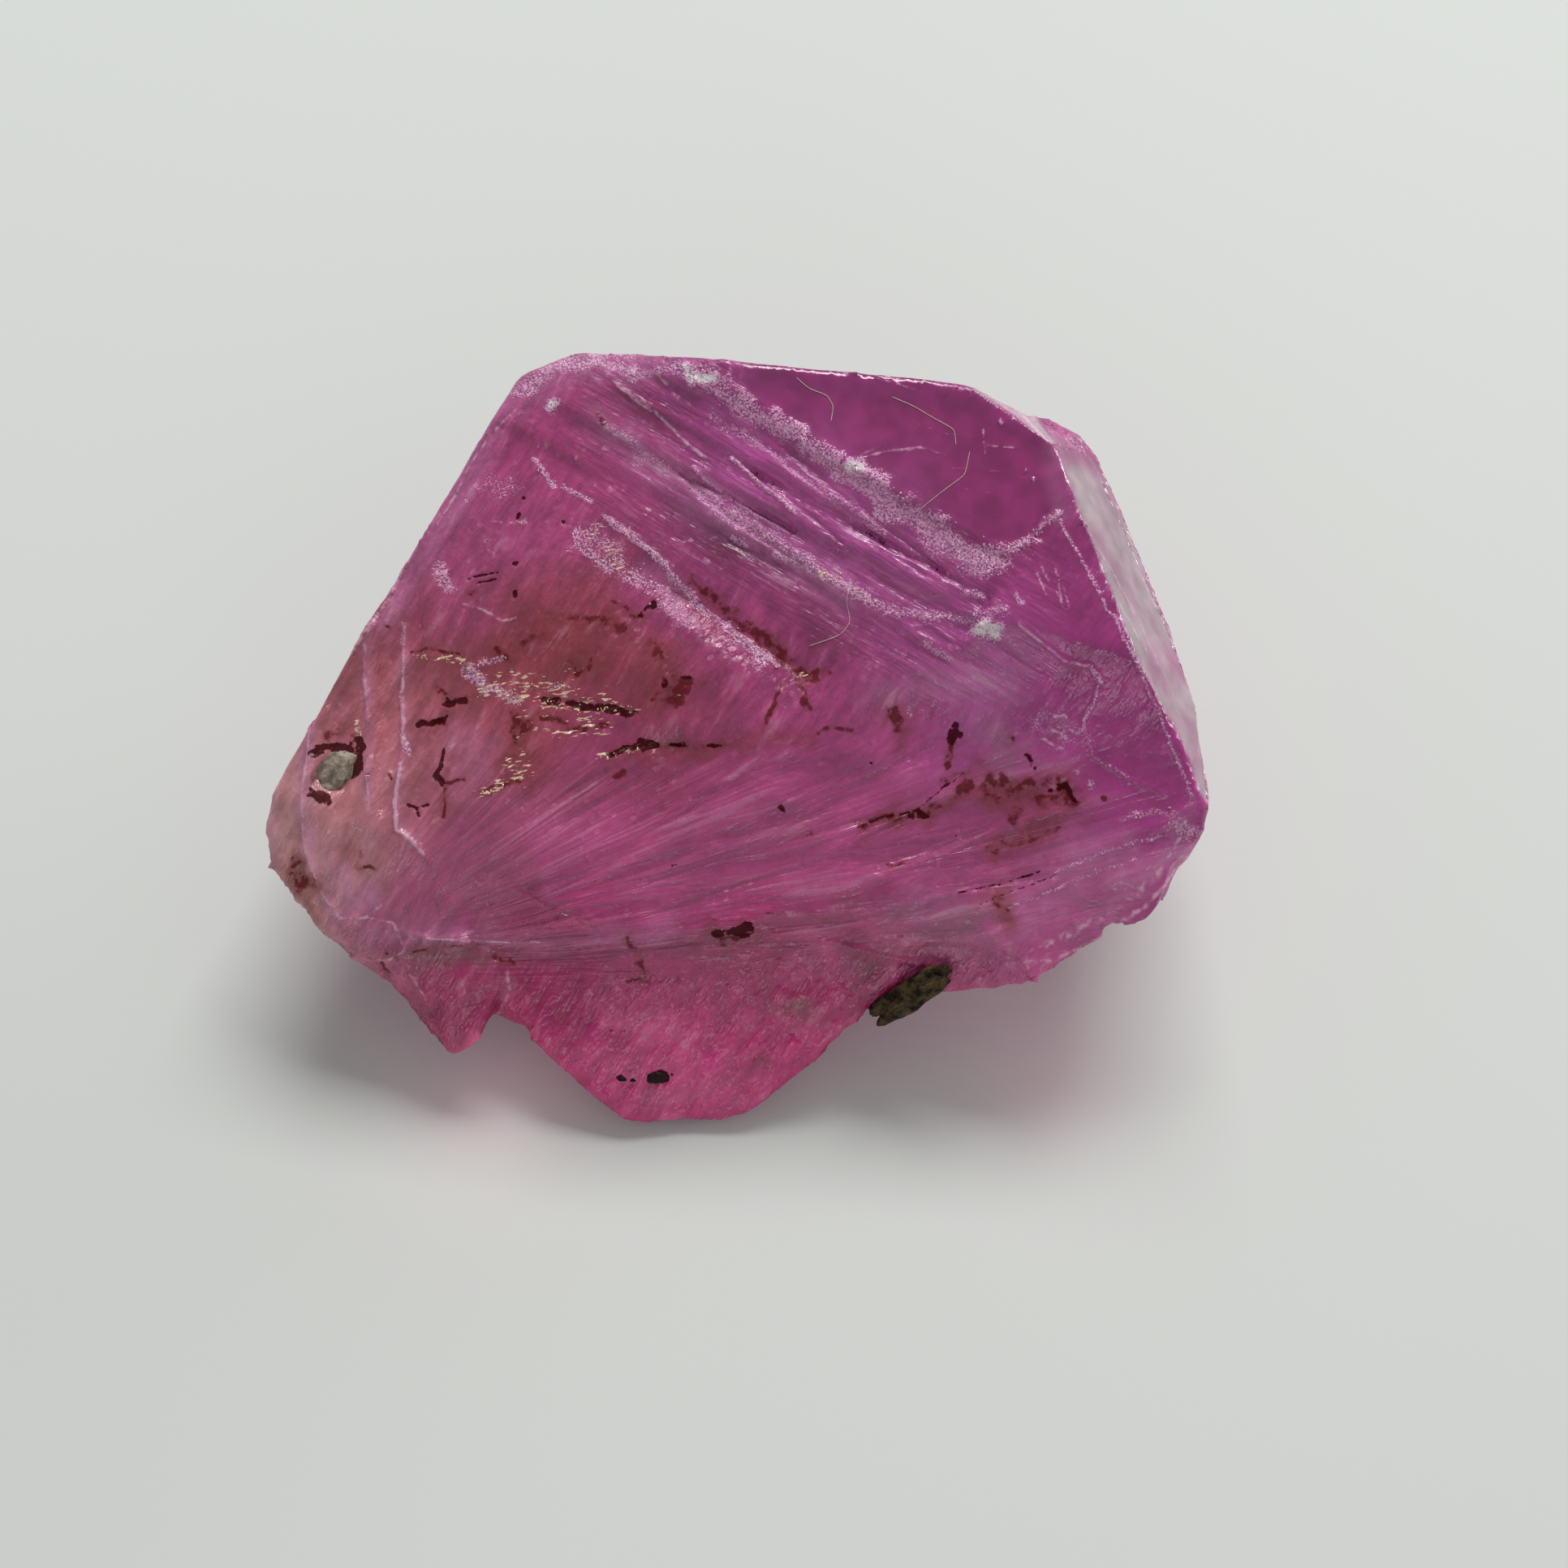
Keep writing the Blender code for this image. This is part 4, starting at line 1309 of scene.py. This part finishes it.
def strewn(kind, per_pixel, sizes, tilt, seed, least=0.0):
    """Small plates scattered along the marks of one kind."""
    rng = np.random.default_rng(seed)
    shapes = []
    for width, strength, line in MARKS[kind]:
        if strength < least:
            continue
        line = np.array(line, float)
        steps = np.diff(line, axis=0)
        lengths = np.linalg.norm(steps, axis=1)
        area = (lengths.sum() + width) * 2 * width
        for _ in range(int(area * per_pixel * min(strength, 1.0))):
            part = rng.choice(len(lengths), p=lengths / lengths.sum())
            spot = line[part] + steps[part] * rng.uniform() + rng.normal(size=2) * width * 0.45
            centre, normal = on_skin(*spot)
            if centre is None:
                continue
            radius = rng.uniform(*sizes) * rng.uniform(0.6, 1.0)
            shapes.append(plate(rng, centre, normal, radius, radius * 0.3, tilt))
    return joined(shapes)


def tube(line, radius, sides=6):
    """A thin round fibre along points."""
    line = np.array(line)
    ahead = unit(np.gradient(line, axis=0))
    side = unit(np.cross(ahead, [0.1, 0.2, 1.0]))
    other = np.cross(ahead, side)
    turns = np.arange(sides) * 2 * math.pi / sides
    rings = []
    for k in range(len(line)):
        r = radius * (0.35 if k in (0, len(line) - 1) else 1.0)
        ring = np.cos(turns)[:, None] * side[k] + np.sin(turns)[:, None] * other[k]
        rings.append(line[k] + r * ring)
    faces = []
    for k in range(len(line) - 1):
        for j in range(sides):
            a, b = k * sides + j, k * sides + (j + 1) % sides
            faces += [(a, b, b + sides), (a, b + sides, a + sides)]
    last = (len(line) - 1) * sides
    faces += [(0, j + 1, j) for j in range(1, sides - 1)]
    faces += [(last, last + j, last + j + 1) for j in range(1, sides - 1)]
    return np.concatenate(rings), faces


def curve_through(pixels, lift, steps=40):
    """A smooth line over the skin through pixels of the photograph."""
    pixels = np.array(pixels, float)
    stops = np.linspace(0, 1, len(pixels))
    where = np.linspace(0, 1, steps)
    path = np.stack([np.interp(where, stops, pixels[:, k]) for k in (0, 1)], axis=1)
    for _ in range(6):
        path[1:-1] = 0.25 * path[:-2] + 0.5 * path[1:-1] + 0.25 * path[2:]
    out = []
    for u, v in path:
        centre, normal = on_skin(u, v)
        if centre is not None:
            out.append(centre + normal * lift)
    return out


def mineral(name, base, other, rough, scale, metal=0.0, gloss=None, clear=0.0):
    """A patchy, fine-grained mineral of two colours."""
    n = Nodes(name)
    patch = n.noise(scale, 4.0, 0.65)
    n.put(n.shader.inputs["Base Color"], n.mix(n.ramp(patch, 0.35, 0.65), base, other))
    n.put(n.shader.inputs["Roughness"], n.ramp(patch, 0.3, 0.7, rough, rough * 0.6))
    n.shader.inputs["Metallic"].default_value = metal
    n.shader.inputs["Transmission Weight"].default_value = clear
    if gloss is not None:
        n.shader.inputs["Specular IOR Level"].default_value = gloss
    n.put(n.shader.inputs["Normal"], n.bump(n.noise(scale * 3, 2.0), 0.02, 0.7))
    return n.material


def add_grains():
    centre, normal = on_skin(*GREY_GRAIN)
    across, down = np.array([0.40, 0.05, 0.04]), np.array([0.02, 0.31, 0.16])
    shape = grain_lump(centre - 0.04 * normal, [across, down, 0.17 * normal], 5)
    grey = mineral("grey_mineral", (0.42, 0.35, 0.28, 1), (0.16, 0.11, 0.09, 1), 0.6, 9.0)
    mesh = new_mesh("grey_grain", *shape, grey)
    mesh.shade_smooth()
    new_piece("grey_grain", mesh)

    half = (OLIVE_END - OLIVE_START) / 2 * 1.12
    axes = [half, [0.02, -0.15, 0.13], [-0.08, 0.10, 0.20]]
    shape = grain_lump((OLIVE_START + OLIVE_END) / 2, axes, 8, 0.3, square=1.1)
    dark, pale = (0.008, 0.004, 0.002, 1), (0.090, 0.062, 0.024, 1)
    olive = mineral("olive_mineral", dark, pale, 0.7, 6.0, gloss=0.15)
    mesh = new_mesh("olive_grain", *shape, olive)
    mesh.shade_smooth()
    new_piece("olive_grain", mesh)

    specks = []
    for u, v, size, seed in SPECKS:
        centre, normal = on_skin(u, v)
        axes = [[size * 1.15, 0, 0], [0, size * 0.75, size * 0.3], size * 0.5 * normal]
        specks.append(grain_lump(centre, axes, seed, 0.3, 3))
    dark, pale = (0.006, 0.003, 0.004, 1), (0.03, 0.008, 0.010, 1)
    black = mineral("black_mineral", dark, pale, 0.35, 14.0, gloss=0.2)
    new_piece("black_specks", new_mesh("black_specks", *joined(specks), black))




def add_fibres():
    shapes = [tube(curve_through(pixels, 0.006), 0.0042) for pixels in FIBRES]
    pale = mineral("pale_fibre", (0.86, 0.74, 0.62, 1), (0.70, 0.52, 0.52, 1), 0.5, 12.0)
    new_piece("fibres", new_mesh("fibres", *joined(shapes), pale))


def add_flakes():
    bright, deep = (0.98, 0.76, 0.52, 1), (0.70, 0.40, 0.24, 1)
    golden = mineral("golden_flake", bright, deep, 0.25, 20.0, 0.6)
    shape = strewn("gold", 0.022, (0.008, 0.024), 0.4, 7, 0.75)
    new_piece("golden_flakes", new_mesh("golden_flakes", *shape, golden))

    bright, deep = (0.99, 0.66, 0.88, 1), (0.90, 0.38, 0.66, 1)
    sugar = mineral("sugar_crystal", bright, deep, 0.14, 16.0, clear=0.3)
    along_frost = strewn("frost_and_highlight", 0.030, (0.010, 0.028), 0.60, 9, 0.5)
    along_ridges = strewn("ridge", 0.012, (0.007, 0.016), 0.60, 12)
    shape = joined([along_frost, along_ridges])
    new_piece("sugar_crystals", new_mesh("sugar_crystals", *shape, sugar))


add_grains()
add_fibres()
add_flakes()

# Floor and light.


def stage_floor():
    n = Nodes("floor")
    n.shader.inputs["Base Color"].default_value = (0.72, 0.745, 0.715, 1.0)
    n.shader.inputs["Roughness"].default_value = 0.9
    half = 0.3
    corners = [(-half, -half, 0), (half, -half, 0), (half, half, 0), (-half, half, 0)]
    mesh = bpy.data.meshes.new("floor")
    mesh.from_pydata(corners, [], [(0, 1, 2, 3)])
    mesh.materials.append(n.material)
    floor = bpy.data.objects.new("floor", mesh)
    bpy.context.scene.collection.objects.link(floor)


def area_light(name, size, power, place, aim=(0, 0, 0.003), colour=(1, 1, 1)):
    light = bpy.data.lights.new(name, "AREA")
    light.shape = "RECTANGLE"
    light.size, light.size_y = size
    light.energy = power
    light.color = colour
    lamp = bpy.data.objects.new(name, light)
    lamp.location = place
    direction = Vector(aim) - Vector(place)
    lamp.rotation_euler = direction.to_track_quat("-Z", "Y").to_euler()
    bpy.context.scene.collection.objects.link(lamp)


def glow_light(name, power, place):
    """The pink light that the stone lets through onto the floor."""
    light = bpy.data.lights.new(name, "POINT")
    light.energy = power
    light.color = (1.0, 0.35, 0.55)
    light.shadow_soft_size = 0.001
    lamp = bpy.data.objects.new(name, light)
    lamp.location = place
    bpy.context.scene.collection.objects.link(lamp)


stage_floor()
area_light("key", (0.12, 0.08), 0.29, (0.03, 0.12, 0.15))
area_light("side", (0.10, 0.04), 0.10, (0.15, 0.09, 0.025))
area_light("fill", (0.16, 0.03), 0.030, (0.0, -0.15, 0.05), colour=(1.0, 0.93, 0.96))
glow_light("left_glow", 0.000013, (-0.0034, -0.0050, 0.0011))
glow_light("right_glow", 0.000010, (0.0044, -0.0046, 0.0011))

world = bpy.data.worlds.new("world")
world.use_nodes = True
background = world.node_tree.nodes["Background"]
background.inputs["Color"].default_value = (0.9, 0.92, 0.9, 1.0)
background.inputs["Strength"].default_value = 0.30
bpy.context.scene.world = world
bpy.context.scene.view_settings.view_transform = "Standard"
